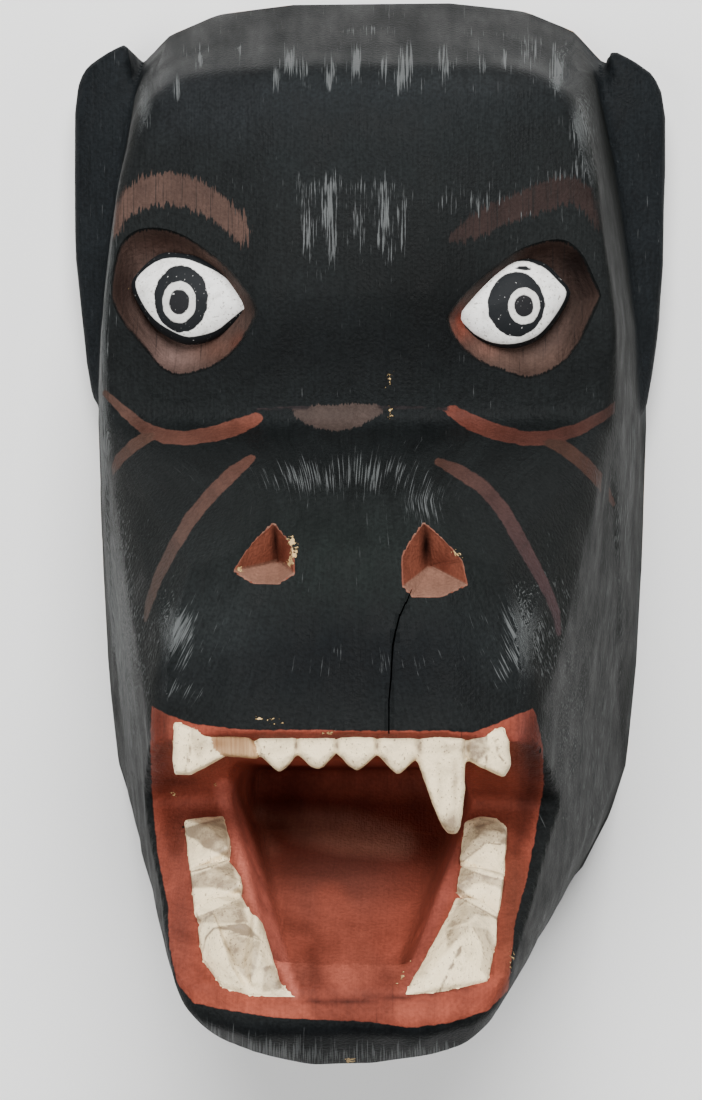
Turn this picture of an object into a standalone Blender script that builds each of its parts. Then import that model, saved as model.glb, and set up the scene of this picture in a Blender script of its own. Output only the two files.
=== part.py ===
# A carved wooden monkey mask, lying on its flat back rim with its face up.
# One block of wood: head, ears, muzzle, open mouth, jaw and every tooth are the same piece.
# +X is the right side as one looks at the face, +Y the top of the head, +Z out of the face.
import math

import bmesh
import bpy
from mathutils import Vector

# Driving sizes, in metres
HEAD_WIDTH = 0.192  # across the rim at the cheeks
HEIGHT = 0.345  # crown to chin
DEPTH = 0.190  # rim to the tip of the lower lip
WALL = 0.017  # wood left round the wearer's hollow, at the rim
FLOOR_WALL = 0.017  # wood left between the hollow's floor and the back of the mouth
HOLLOW_DRAFT = 0.020  # how much narrower each side of the hollow is at its floor
HOLLOW_ROUNDING = 0.012
EDGE_ROUNDING = 0.005  # the worn edges of the head and of the muzzle
ROUNDED_FROM = math.radians(24)  # edges flatter than this stay as they were carved
FLAT_WITHIN = math.radians(0.1)  # facets closer than this are one facet
ROUNDING_STEPS = 2
SNOUT_INSET = 0.0010  # the snout's sides start just inside the head's, so that they cross clearly
TRIM = 0.012  # what the blocks are left long at the back before the rim is sawn flat

EAR_THICKNESS = 0.027
EAR_STANDOUT = 0.0055  # how far the ears pass the widest part of the rim
EAR_EDGE_ROUNDING = 0.003

SOCKET_WIDTH = 0.045
SOCKET_HEIGHT = 0.042
SOCKET_DEPTH = 0.014
SOCKET_FLARE = 0.20  # how much wider the bowl opens above the face
EYEBALL_WIDTH = 0.0385
EYEBALL_HEIGHT = 0.0275
EYEBALL_BULGE = 0.009  # from the eyeball's corners to its top
EYEBALL_SETBACK = 0.0085  # from the face to the eyeball's widest level
EYEBALL_ROOT = 0.0002  # below this the eyeball goes straight down
EYEBALL_POINTEDNESS = 0.50  # 0 is an oval, 1 is two arcs that meet in points
SPHERE_SIDES = 24

NOSTRIL_DEPTH = 0.011

INCISOR_COUNT = 4
INCISOR_PITCH = 0.0115
INCISOR_LENGTH = 0.0108
INCISOR_THICKNESS = 0.010
INCISOR_TIP = 0.0029  # across the point
TOOTH_GAP = 0.0006  # between each tooth and the next
CANINE_WIDTH = 0.0135
CANINE_LENGTH = 0.0295
CANINE_THICKNESS = 0.014
CANINE_TIP = 0.0045  # across the worn tip
CANINE_LEAN = 0.0030  # how far the tip leans outwards
CANINE_FULLNESS = 0.45  # 1 keeps the canine's full width down to its shoulder
STUMP_WIDTH = 0.0135  # the lost canine on the other side
STUMP_LENGTH = 0.0070
STUMP_END = 0.0108  # across the broken end
UPPER_MOLAR_WIDTH = 0.0125
UPPER_MOLAR_LENGTH = 0.0130
UPPER_MOLAR_THICKNESS = 0.013
UPPER_MOLAR_TIP = 0.0069
TOOTH_SHOULDER = 0.62  # how far down a tooth keeps its width, as a share of its length
TOOTH_ROOT = 0.006  # how far every tooth is set into the wood behind it
LIP_OVER_TEETH = 0.002  # how far the upper lip stands in front of its teeth
SHOULDER_THICKNESS = 0.85  # the tooth's thickness at its shoulder and at its tip, as shares
TIP_THICKNESS = 0.35

LOWER_MOLAR_LENGTH = 0.0205
LOWER_MOLAR_HEIGHT = 0.0050
LOWER_CANINE_LENGTH = 0.0310
LOWER_CANINE_HEIGHT = 0.0105
LOWER_MOLAR_COUNT = 2
# Along a lower tooth, from its back end: (share of its length, share of its height)
LOWER_MOLAR_STEPS = ((0.0, 0.35), (0.8, 1.0), (1.0, 0.45))
LOWER_MOLAR_INNER = 0.7  # the inner edge's height, as a share of the outer edge's
LOWER_CANINE_ENDS = ((0.0, 0.30), (1.0, 0.10))
LOWER_CANINE_TOP = ((0.22, 0.40), (0.34, 0.60), (0.40, 0.38))  # along, and across from the inside

# The free form, as shares: (across, up, out) of half the width, the height and the depth.
# Each outline is its right half, and the left half mirrors it.
RIM_OUTLINE = (
    (0.300, 0.496), (0.560, 0.487), (0.740, 0.466), (0.840, 0.435), (0.898, 0.348),
    (0.953, 0.252), (0.992, 0.168), (1.000, 0.072), (0.984, -0.067), (0.964, -0.174),
    (0.927, -0.275), (0.870, -0.325), (0.770, -0.379), (0.610, -0.428), (0.420, -0.462),
    (0.208, -0.474),
)
FOREHEAD = (
    (0.310, 0.386, 0.500), (0.570, 0.380, 0.484), (0.710, 0.362, 0.463), (0.765, 0.336, 0.458),
    (0.797, 0.284, 0.468), (0.823, 0.203, 0.479), (0.854, 0.145, 0.479), (0.859, 0.096, 0.468),
    (0.855, 0.030, 0.450), (0.260, 0.319, 0.530), (0.290, 0.174, 0.540), (0.260, 0.078, 0.522),
    (0.420, -0.020, 0.450),
)
MUZZLE = (
    (0.340, 0.062, 0.490), (0.560, 0.004, 0.490), (0.210, 0.034, 0.632), (0.250, -0.009, 0.774),
    (0.290, -0.058, 0.858), (0.330, -0.130, 0.889), (0.350, -0.212, 0.903), (0.396, -0.023, 0.726),
    (0.479, -0.072, 0.822), (0.555, -0.139, 0.855), (0.612, -0.194, 0.842), (0.540, -0.020, 0.579),
    (0.662, -0.125, 0.684), (0.850, 0.060, 0.462),
)
JAW = (
    (0.625, -0.281, 0.658), (0.542, -0.364, 0.826), (0.495, -0.417, 0.974), (0.448, -0.443, 0.984),
    (0.290, -0.455, 1.000), (0.494, -0.431, 0.921), (0.438, -0.458, 0.905), (0.365, -0.474, 0.884),
    (0.240, -0.488, 0.868), (0.080, -0.496, 0.868), (0.300, -0.478, 0.600), (0.470, -0.450, 0.600),
)
EAR_OUTLINE = (
    (-0.20, 0.449), (-0.115, 0.438), (-0.040, 0.424), (-0.012, 0.406), (0.0, 0.380),
    (0.0, 0.319), (-0.006, 0.232), (-0.020, 0.180), (-0.045, 0.130), (-0.070, 0.087),
    (-0.30, 0.087),
)  # across is counted here from the ear's outer edge
EAR_DROP = {-1: 0.0, 1: 0.004}  # the right ear was carved a little lower
EAR_SLOPE = 0.16  # the ear's front falls away to its outer edge by this share of its thickness

# Where the mouth is cut, as (up, out) seen from the side
ROW_CENTRE = -0.018  # the upper row sits a little to the left
MOUTH_CORNER = (-0.283, 0.652)
UPPER_LIP = (-0.2145, 0.905)
LOWER_LIP = (-0.426, 1.000)
MOUTH_CORNER_GAP = 0.004  # the height of the mouth's corner, in metres
LIP_OVERRUN = 1.6  # the cut is carried on past each lip by this share

THROAT_BACK = 0.395
THROAT = (
    (0.354, -0.264, THROAT_BACK), (0.354, -0.290, THROAT_BACK),
    (0.208, -0.355, 0.658), (0.146, -0.428, 0.930),
    (0.385, -0.283, 0.658), (0.214, -0.400, 0.937), (0.354, -0.236, 0.842),
)

# The eyes were carved by hand and don't quite mirror each other: side: (across, up)
SOCKET_PLACES = {-1: (-0.573, 0.171), 1: (0.556, 0.161)}
EYEBALL_PLACES = {-1: (-0.548, 0.171), 1: (0.508, 0.167)}
EYE_OUT = 0.485  # the face's surface there
SOCKET_TILT = math.radians(5)  # the sockets look a little outwards
EYE_SLANT = math.radians(10)  # the inner corners are the lower ones
NOSTRIL_OUTLINE = ((0.225, -0.028), (0.345, -0.071), (0.230, -0.087), (0.155, -0.070))
NOSTRIL_PIT = (0.215, -0.058)
NOSTRIL_OUT = 0.865  # the muzzle's surface there

# The jaw's upper face, as (across, share of the way from the corner to the lip)
ROW_OUTER = ((0.525, 0.09), (0.500, 0.34), (0.472, 0.59), (0.400, 0.97))
ROW_INNER = ((0.400, 0.09), (0.345, 0.34), (0.290, 0.59), (0.170, 0.97))

BLACK_PAINT = (0.021, 0.023, 0.025, 1.0)
PAINT_ROUGHNESS = 0.62


def place(across, up, out):
    """The point of the block at these shares of its width, height and depth."""
    return Vector((across * HEAD_WIDTH / 2, up * HEIGHT, out * DEPTH))


def both_sides(points):
    """The points with their mirror images."""
    return list(points) + [Vector((-p.x, p.y, p.z)) for p in points]


def new_object(name, form, collection):
    mesh = bpy.data.meshes.new(name)
    form.to_mesh(mesh)
    form.free()
    made = bpy.data.objects.new(name, mesh)
    collection.objects.link(made)
    return made


def block(name, points, collection, rounding=0.0):
    """A convex block through these points, with its clear edges rounded."""
    form = bmesh.new()
    for point in points:
        form.verts.new(point)
    hull = bmesh.ops.convex_hull(form, input=form.verts, use_existing_faces=False)
    spare = set(hull["geom_interior"] + hull["geom_unused"])
    loose = [item for item in spare if isinstance(item, bmesh.types.BMVert)]
    bmesh.ops.delete(form, geom=loose, context="VERTS")
    bmesh.ops.dissolve_limit(
        form, angle_limit=FLAT_WITHIN, verts=form.verts, edges=form.edges
    )
    bmesh.ops.recalc_face_normals(form, faces=form.faces)
    made = new_object(name, form, collection)
    if rounding:
        bevel = made.modifiers.new("worn edges", "BEVEL")
        bevel.width = rounding
        bevel.segments = ROUNDING_STEPS
        bevel.limit_method = "ANGLE"
        bevel.angle_limit = ROUNDED_FROM
    return made


def combine(target, other, operation):
    change = target.modifiers.new(f"{operation.lower()} {other.name}", "BOOLEAN")
    change.operation = operation
    change.object = other
    change.solver = "EXACT"


def rim_ring(out, inset=0.0, first=0):
    """The rim's outline at one distance from the rim's plane, drawn in by a wall."""
    ring = []
    for across, up in RIM_OUTLINE[first:]:
        point = place(across, up, 0.0)
        length = point.length
        point = point * ((length - inset) / length)
        ring.append(Vector((point.x, point.y, out)))
    return both_sides(ring)


def head_block(collection):
    """Crown, temples and brow: sawn flat at the back and sloping in to the forehead."""
    points = rim_ring(-TRIM) + rim_ring(0.0)
    points += both_sides([place(*share) for share in FOREHEAD])
    return block("mask", points, collection, EDGE_ROUNDING)


def snout_block(cutters):
    """Cheeks, muzzle and jaw, before the mouth is cut out."""
    points = rim_ring(-TRIM, inset=SNOUT_INSET, first=7)
    points += rim_ring(0.0, inset=SNOUT_INSET, first=7)
    points += both_sides([place(*share) for share in MUZZLE + JAW])
    return block("snout", points, cutters, EDGE_ROUNDING)


def ear_block(side, cutters):
    """A plain slab that stands out behind the temple, thinner at its outer edge."""
    outer = HEAD_WIDTH / 2 + EAR_STANDOUT
    points = []
    for inward, up in EAR_OUTLINE:
        x = outer + inward * HEAD_WIDTH / 2
        y = up * HEIGHT - EAR_DROP[side]
        front = EAR_THICKNESS * (1 - EAR_SLOPE * (1 - inward / EAR_OUTLINE[-1][0]))
        points.append(Vector((side * x, y, -TRIM)))
        points.append(Vector((side * x, y, front)))
    return block(f"ear {side}", points, cutters, EAR_EDGE_ROUNDING)


def mouth_wedge(cutters):
    """The open mouth, cut right across between the two lips."""
    corner = place(0.0, *MOUTH_CORNER)
    upper = place(0.0, *UPPER_LIP)
    lower = place(0.0, *LOWER_LIP)
    gap = Vector((0, MOUTH_CORNER_GAP / 2, 0))
    profile = [
        corner + gap,
        corner - gap,
        corner - gap + (lower - corner + gap) * LIP_OVERRUN,
        corner + gap + (upper - corner - gap) * LIP_OVERRUN,
    ]
    across = Vector((HEAD_WIDTH, 0, 0))
    points = [p + across for p in profile] + [p - across for p in profile]
    return block("mouth", points, cutters)


def throat_pocket(cutters):
    """The palate and the trough of the tongue, narrowing to the lower lip."""
    points = both_sides([place(*share) for share in THROAT])
    return block("throat", points, cutters)


def hollow(cutters):
    """The wearer's hollow, open at the back."""
    points = rim_ring(-2 * TRIM, inset=WALL) + rim_ring(0.0, inset=WALL)
    floor = THROAT_BACK * DEPTH - FLOOR_WALL
    points += rim_ring(floor, inset=WALL + HOLLOW_DRAFT)
    return block("wearer hollow", points, cutters, HOLLOW_ROUNDING)


def rim_saw(cutters):
    form = bmesh.new()
    bmesh.ops.create_cube(form, size=2 * HEIGHT)
    bmesh.ops.translate(form, verts=form.verts, vec=(0, 0, -HEIGHT))
    return new_object("rim saw", form, cutters)


def unit_sphere():
    """A sphere one unit across, as a bmesh."""
    form = bmesh.new()
    bmesh.ops.create_uvsphere(
        form, u_segments=SPHERE_SIDES, v_segments=SPHERE_SIDES // 2, radius=0.5
    )
    return form


def straighten(vert, radius):
    """Moves a point of the sphere straight out to a radius, which makes that half a column."""
    length = max(math.hypot(vert.co.x, vert.co.y), 0.1)  # the pole has no direction
    vert.co.x *= radius / length
    vert.co.y *= radius / length


def eye_socket(side, cutters):
    """A shallow bowl in the face, open and a little flared above it."""
    form = unit_sphere()
    for vert in form.verts:
        if vert.co.z > 0:
            straighten(vert, 0.5 + SOCKET_FLARE * vert.co.z)
    size = (SOCKET_WIDTH, SOCKET_HEIGHT, 2 * SOCKET_DEPTH)
    bmesh.ops.scale(form, verts=form.verts, vec=size)
    made = new_object(f"socket {side}", form, cutters)
    across, up = SOCKET_PLACES[side]
    made.location = place(across, up, EYE_OUT)
    made.rotation_euler = (0, side * SOCKET_TILT, 0)
    return made


def eyeball(side, cutters):
    """An almond that swells out of the socket, on a root of its own outline."""
    form = unit_sphere()
    for vert in form.verts:
        if vert.co.z < -EYEBALL_ROOT / EYEBALL_BULGE:
            straighten(vert, 0.5)
        pinch = math.sqrt(max(0.0, 1 - 4 * vert.co.x * vert.co.x))
        vert.co.x *= EYEBALL_WIDTH
        vert.co.y *= EYEBALL_HEIGHT * (1 - EYEBALL_POINTEDNESS * (1 - pinch))
        vert.co.z *= 2 * EYEBALL_BULGE
    made = new_object(f"eyeball {side}", form, cutters)
    across, up = EYEBALL_PLACES[side]
    made.location = place(across, up, EYE_OUT) - Vector((0, 0, EYEBALL_SETBACK))
    made.rotation_euler = (0, side * SOCKET_TILT, side * EYE_SLANT)
    return made


def nostril(side, cutters):
    """Three chisel cuts that meet in a pit."""
    above = Vector((0, 0, NOSTRIL_DEPTH))
    pit = place(side * NOSTRIL_PIT[0], NOSTRIL_PIT[1], NOSTRIL_OUT)
    points = [pit - above]
    for across, up in NOSTRIL_OUTLINE:
        rim = place(side * across, up, NOSTRIL_OUT)
        points.append(rim)
        points.append(rim + (rim - pit) + above)
    return block(f"nostril {side}", points, cutters)


def upper_tooth(name, x, width, length, thickness, tip, cutters, lean=0.0, fullness=1.0):
    """A wedge that hangs from the upper lip: square to its shoulder and narrowing to its tip."""
    lip_y = UPPER_LIP[0] * HEIGHT
    middle = UPPER_LIP[1] * DEPTH - LIP_OVER_TEETH - thickness / 2
    shoulder_width = tip + (width - tip) * fullness
    sections = (
        (TOOTH_ROOT / 2, width, 1.0, 0.0),
        (-TOOTH_SHOULDER * length, shoulder_width, SHOULDER_THICKNESS, lean * TOOTH_SHOULDER),
        (-length, tip, TIP_THICKNESS, lean),
    )
    points = []
    for drop, across, share, shift in sections:
        for side in (-1, 1):
            for face in (-1, 1):
                out = middle + face * share * thickness / 2
                points.append(Vector((x + shift + side * across / 2, lip_y + drop, out)))
    return block(name, points, cutters)


def jaw_point(across, along, height=0.0):
    """A point on the jaw's upper face, from its corner (0) to its lip (1), raised by a height."""
    corner = place(0.0, *MOUTH_CORNER)
    lip = place(0.0, *LOWER_LIP)
    run = lip - corner
    normal = Vector((0, run.z, -run.y)).normalized()
    base = corner + run * along
    return Vector((across * HEAD_WIDTH / 2, base.y, base.z)) + normal * height


def row_edge(edge, along):
    """Where one edge of a lower row of teeth is, at this share of the way to the lip."""
    for (a0, s0), (a1, s1) in zip(edge, edge[1:]):
        if along <= s1:
            break
    return a0 + (a1 - a0) * (along - s0) / (s1 - s0)


def lower_molar(side, start, length, cutters):
    """A stepped tooth: it rises from back to front and drops to the next."""
    points = []
    for share, height_share in LOWER_MOLAR_STEPS:
        along = start + share * length
        height = height_share * LOWER_MOLAR_HEIGHT
        for edge, top in ((ROW_OUTER, height), (ROW_INNER, LOWER_MOLAR_INNER * height)):
            across = side * row_edge(edge, along)
            points.append(jaw_point(across, along, top))
            points.append(jaw_point(across, along, -TOOTH_ROOT))
    return block(f"lower molar {side} {start:.2f}", points, cutters)


def lower_canine(side, start, length, cutters):
    """A broad mound that rises to a blunt top."""
    points = []
    for share, height in LOWER_CANINE_ENDS:
        along = start + share * length
        for edge in (ROW_OUTER, ROW_INNER):
            across = side * row_edge(edge, along)
            points.append(jaw_point(across, along, height * LOWER_CANINE_HEIGHT))
            points.append(jaw_point(across, along, -TOOTH_ROOT))
    for share, across_share in LOWER_CANINE_TOP:
        along = start + share * length
        outer = row_edge(ROW_OUTER, along)
        inner = row_edge(ROW_INNER, along)
        across = side * (inner + (outer - inner) * across_share)
        points.append(jaw_point(across, along, LOWER_CANINE_HEIGHT))
    return block(f"lower canine {side}", points, cutters)


def upper_teeth(cutters):
    """Four incisors, then a canine or its stump and a molar on each side."""
    centre = ROW_CENTRE * HEAD_WIDTH / 2
    row = INCISOR_COUNT * INCISOR_PITCH
    teeth = []
    for index in range(INCISOR_COUNT):
        x = centre - row / 2 + (index + 0.5) * INCISOR_PITCH
        teeth.append(
            upper_tooth(
                f"incisor {index}", x, INCISOR_PITCH - TOOTH_GAP, INCISOR_LENGTH,
                INCISOR_THICKNESS, INCISOR_TIP, cutters,
            )
        )
    canine_x = centre + row / 2 + CANINE_WIDTH / 2
    teeth.append(
        upper_tooth(
            "canine", canine_x, CANINE_WIDTH - TOOTH_GAP, CANINE_LENGTH,
            CANINE_THICKNESS, CANINE_TIP, cutters, CANINE_LEAN, CANINE_FULLNESS,
        )
    )
    stump_x = centre - row / 2 - STUMP_WIDTH / 2
    teeth.append(
        upper_tooth(
            "canine stump", stump_x, STUMP_WIDTH - TOOTH_GAP, STUMP_LENGTH,
            CANINE_THICKNESS, STUMP_END, cutters,
        )
    )
    for side, inner in ((-1, stump_x - STUMP_WIDTH / 2), (1, canine_x + CANINE_WIDTH / 2)):
        teeth.append(
            upper_tooth(
                f"upper molar {side}", inner + side * UPPER_MOLAR_WIDTH / 2,
                UPPER_MOLAR_WIDTH - TOOTH_GAP, UPPER_MOLAR_LENGTH,
                UPPER_MOLAR_THICKNESS, UPPER_MOLAR_TIP, cutters,
            )
        )
    return teeth


def lower_teeth(cutters):
    """Two stepped molars and a canine on each side of the jaw, from the corner to the lip."""
    run = (place(0.0, *LOWER_LIP) - place(0.0, *MOUTH_CORNER)).length
    molar = LOWER_MOLAR_LENGTH / run
    canine = LOWER_CANINE_LENGTH / run
    gap = TOOTH_GAP / run
    teeth = []
    for side in (-1, 1):
        start = ROW_OUTER[0][1]
        for _ in range(LOWER_MOLAR_COUNT):
            teeth.append(lower_molar(side, start, molar, cutters))
            start += molar + gap
        teeth.append(lower_canine(side, start, canine, cutters))
    return teeth


def black_paint():
    paint = bpy.data.materials.new("black paint on wood")
    paint.use_nodes = True
    shader = paint.node_tree.nodes["Principled BSDF"]
    shader.inputs["Base Color"].default_value = BLACK_PAINT
    shader.inputs["Roughness"].default_value = PAINT_ROUGHNESS
    shader.inputs["Metallic"].default_value = 0.0
    return paint


def main():
    for old in list(bpy.data.objects):
        bpy.data.objects.remove(old)
    parts = bpy.data.collections.new("monkey mask")
    cutters = bpy.data.collections.new("cutters")
    bpy.context.scene.collection.children.link(parts)
    bpy.context.scene.collection.children.link(cutters)

    mask = head_block(parts)
    combine(mask, snout_block(cutters), "UNION")
    for side in (-1, 1):
        combine(mask, ear_block(side, cutters), "UNION")
    for cut in (mouth_wedge, throat_pocket):
        combine(mask, cut(cutters), "DIFFERENCE")
    for tooth in upper_teeth(cutters) + lower_teeth(cutters):
        combine(mask, tooth, "UNION")
    for side in (-1, 1):
        combine(mask, eye_socket(side, cutters), "DIFFERENCE")
        combine(mask, eyeball(side, cutters), "UNION")
        combine(mask, nostril(side, cutters), "DIFFERENCE")
    combine(mask, hollow(cutters), "DIFFERENCE")
    combine(mask, rim_saw(cutters), "DIFFERENCE")

    for helper in cutters.objects:
        helper.hide_render = True
        helper.display_type = "WIRE"
    mask.data.materials.append(black_paint())


main()
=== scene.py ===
import math

import bmesh
import bpy
import numpy as np
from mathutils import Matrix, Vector, noise
from mathutils.bvhtree import BVHTree


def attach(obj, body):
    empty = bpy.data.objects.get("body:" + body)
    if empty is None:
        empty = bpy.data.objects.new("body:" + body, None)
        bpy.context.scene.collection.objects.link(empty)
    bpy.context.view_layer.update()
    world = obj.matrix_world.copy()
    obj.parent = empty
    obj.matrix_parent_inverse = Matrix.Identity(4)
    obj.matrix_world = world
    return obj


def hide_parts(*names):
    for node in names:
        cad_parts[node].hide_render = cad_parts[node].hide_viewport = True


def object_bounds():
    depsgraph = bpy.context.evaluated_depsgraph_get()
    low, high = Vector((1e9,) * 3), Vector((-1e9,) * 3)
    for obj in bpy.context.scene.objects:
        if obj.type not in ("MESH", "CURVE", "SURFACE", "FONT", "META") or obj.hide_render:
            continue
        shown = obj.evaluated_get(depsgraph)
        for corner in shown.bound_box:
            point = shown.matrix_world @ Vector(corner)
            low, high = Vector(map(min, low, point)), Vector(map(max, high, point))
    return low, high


# A carved and painted wooden monkey mask. It lies on its flat back rim, face up:
# +X is the right side of the picture, +Y the top of the head, +Z out of the face.
# Form is in millimetres. Paint is placed on the front view, a grid 702 wide and 1100 high.
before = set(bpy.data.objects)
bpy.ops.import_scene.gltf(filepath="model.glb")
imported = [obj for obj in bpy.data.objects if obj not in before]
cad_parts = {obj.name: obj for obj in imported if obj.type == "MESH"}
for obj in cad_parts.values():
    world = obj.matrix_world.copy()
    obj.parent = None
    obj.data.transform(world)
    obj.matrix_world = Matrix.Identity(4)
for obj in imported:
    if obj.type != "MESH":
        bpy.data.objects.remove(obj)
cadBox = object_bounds()

frontView = {
    "eye": (49.0, -20.0, 1000.0),   # mm, where the front view is seen from
    "lean": 0.056,                  # how far the view leans to the left as it goes down
    "scale": 2861.0,                # grid units per unit of width over distance
    "middle": (351.0, 550.0),
    "aside": 7.0,                   # mm from the model's middle left to the view's, at the rim
    "tall": 1100,
    "mmPerUnit": 0.33,              # on the face
}

headForm = {
    "voxel": 1.45,
    "soften": 3,
    # The head's top gets rounder from "above" mm up, fully so "band" mm further. The step under
    # the brow is softened as much, fully within "band" mm of it and not at all past "fade" more.
    "crown": {"above": 84.0, "band": 24.0, "out": 50.0},
    "browStep": {"above": 20.0, "band": 14.0, "fade": 12.0, "out": 74.0},
    "crownSoften": 100,
    "worn": (0.25, 0.5, 0.75, 1.0),     # the steps in which that softening grows
    "hollowFloor": 58.05,
    # the hollow's wall, as (mm in from the rim's plane, mm of wood round it)
    "hollow": [(-24, 17), (0, 17), (46.7, 33.1), (52.5, 36.8), (56.3, 41.5), (58.05, 49)],
    "edgeRounding": 5.0,
    "trim": 12.0,
    "rim": [
        (28.8, 171.1), (53.8, 168.0), (71.0, 160.8), (80.6, 150.1), (86.2, 120.1), (91.5, 86.9),
        (95.2, 58.0), (96.0, 24.8), (94.5, -23.1), (92.5, -60.0), (89.0, -94.9), (83.5, -112.1),
        (73.9, -130.8), (58.6, -147.7), (40.3, -159.4), (20.0, -163.5),
    ],
    "forehead": [
        (29.8, 133.2, 95.0), (54.7, 131.1, 92.0), (68.2, 124.9, 88.0), (73.4, 115.9, 87.0),
        (76.5, 98.0, 88.9), (79.0, 70.0, 91.0), (82.0, 50.0, 91.0), (82.5, 33.1, 88.9),
        (82.1, 10.3, 85.5), (25.0, 110.1, 100.7), (27.8, 60.0, 102.6), (25.0, 26.9, 99.2),
        (40.3, -6.9, 85.5),
    ],
    "muzzle": [
        (32.6, 21.4, 93.1), (53.8, 1.4, 93.1), (20.2, 11.7, 120.1), (24.0, -3.1, 147.1),
        (27.8, -20.0, 163.0), (31.7, -44.9, 168.9), (33.6, -73.1, 171.6), (38.0, -7.9, 137.9),
        (46.0, -24.8, 156.2), (53.3, -48.0, 162.4), (58.8, -66.9, 160.0), (51.8, -6.9, 110.0),
        (63.6, -43.1, 130.0), (81.6, 20.7, 87.8),
    ],
    "jaw": [
        (60.0, -96.9, 125.0), (52.0, -125.6, 156.9), (47.5, -143.9, 185.1), (43.0, -152.8, 187.0),
        (27.8, -157.0, 190.0), (47.4, -148.7, 175.0), (42.0, -158.0, 172.0), (35.0, -163.5, 168.0),
        (23.0, -168.4, 164.9), (7.7, -171.1, 164.9), (28.8, -164.9, 114.0), (45.1, -155.2, 114.0),
    ],
    "throat": [
        (34.0, -91.1, 75.0), (34.0, -100.0, 75.0), (20.0, -122.5, 125.0), (14.0, -147.7, 176.7),
        (37.0, -97.6, 125.0), (20.5, -138.0, 178.0), (34.0, -81.4, 160.0),
    ],
    # (up, out) at the mouth's corner, the upper lip and the lower lip
    "mouth": [(-97.6, 123.9), (-74.0, 171.95), (-147.0, 190.0)],
    "mouthWedge": {"blunt": 2.0, "reach": 1.6, "half": 190.0},
    "saw": 800.0,                   # mm, the cube that trims the back flat
}

ears = {
    "outer": 101.5,
    "thickness": 27.0,
    "slope": 0.16,
    "rounding": 3.0,
    "drop": {-1: 0.0, 1: 4.0},
    "outline": [
        (-19.2, 154.9), (-11.0, 151.1), (-3.8, 146.3), (-1.2, 140.1), (0.0, 131.1), (0.0, 110.1),
        (-0.6, 80.0), (-1.9, 62.1), (-4.3, 44.9), (-6.7, 30.0), (-28.8, 30.0),
    ],
}


def seen(points):
    # where points of the model, in mm, fall on the front view
    points = np.asarray(points, float)
    near = frontView["scale"] / (frontView["eye"][2] - points[..., 2])
    lean = frontView["lean"]
    across = frontView["middle"][0] + (points[..., 0] + frontView["aside"] - lean * points[..., 2]) * near
    down = frontView["middle"][1] - (points[..., 1] - frontView["eye"][1]) * near
    return np.stack([across, down], -1)


def unseen(across, down, out):
    # the point of the model, in mm, that the front view shows there at that height
    near = (frontView["eye"][2] - out) / frontView["scale"]
    x = (across - frontView["middle"][0]) * near + frontView["lean"] * out - frontView["aside"]
    y = (frontView["middle"][1] - down) * near + frontView["eye"][1]
    return Vector((x, y, out))


def bothSides(points):
    return [tuple(p) for p in points] + [(-p[0], *p[1:]) for p in points]


def meshObject(name, form, scale=0.001):
    bmesh.ops.scale(form, verts=form.verts, vec=(scale, scale, scale))
    mesh = bpy.data.meshes.new(name)
    form.to_mesh(mesh)
    form.free()
    made = bpy.data.objects.new(name, mesh)
    bpy.context.scene.collection.objects.link(made)
    return made


def hull(name, points, rounding=0.0, steps=3, sharpFrom=24.0):
    # a convex block through these points, in mm, with its clear edges rounded
    form = bmesh.new()
    for point in points:
        form.verts.new(point)
    made = bmesh.ops.convex_hull(form, input=form.verts, use_existing_faces=False)
    spare = {g for g in made["geom_interior"] + made["geom_unused"] if isinstance(g, bmesh.types.BMVert)}
    bmesh.ops.delete(form, geom=list(spare), context="VERTS")
    bmesh.ops.dissolve_limit(form, angle_limit=math.radians(0.1), verts=form.verts, edges=form.edges)
    bmesh.ops.recalc_face_normals(form, faces=form.faces)
    if rounding:
        sharp = [e for e in form.edges if e.calc_face_angle(0.0) > math.radians(sharpFrom)]
        bmesh.ops.bevel(form, geom=sharp, offset=rounding, segments=steps, profile=0.5,
                        affect="EDGES", material=-1, clamp_overlap=True)
    return meshObject(name, form)


def change(target, kind, **settings):
    made = target.modifiers.new(kind.lower(), kind)
    for name, value in settings.items():
        setattr(made, name, value)
    return made


def applyAll(target):
    bpy.context.view_layer.update()
    graph = bpy.context.evaluated_depsgraph_get()
    solid = bpy.data.meshes.new_from_object(target.evaluated_get(graph))
    target.modifiers.clear()
    target.data = solid


def combine(target, others, operation, solver="EXACT"):
    for other in others:
        change(target, "BOOLEAN", operation=operation, object=other, solver=solver)
    applyAll(target)
    for other in others:
        bpy.data.objects.remove(other)


def coordinates(mesh, what="co"):
    # every vertex's place in mm, or its normal
    found = np.empty(len(mesh.vertices) * 3)
    source = mesh.vertices if what == "co" else mesh.vertex_normals
    source.foreach_get("co" if what == "co" else "vector", found)
    return found.reshape(-1, 3) * (1000.0 if what == "co" else 1.0)


def moveTo(target, points):
    target.data.vertices.foreach_set("co", (points / 1000).ravel())
    target.data.update()


def rimRing(out, inset=0.0, first=0):
    # the rim's corners at this height, drawn in by the inset, in mm
    ring = []
    for x, y in headForm["rim"][first:]:
        share = 1.0 - inset / math.hypot(x, y)
        ring.append((x * share, y * share, out))
    return bothSides(ring)


def earBlock(side):
    # a flat slab whose front slopes back to its outer edge
    points = []
    for inward, y in ears["outline"]:
        x = side * (ears["outer"] + inward)
        front = ears["thickness"] * (1 - ears["slope"] * (1 - inward / ears["outline"][-1][0]))
        points += [(x, y - ears["drop"][side], -headForm["trim"]), (x, y - ears["drop"][side], front)]
    return hull(f"ear {side}", points, ears["rounding"])


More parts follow.
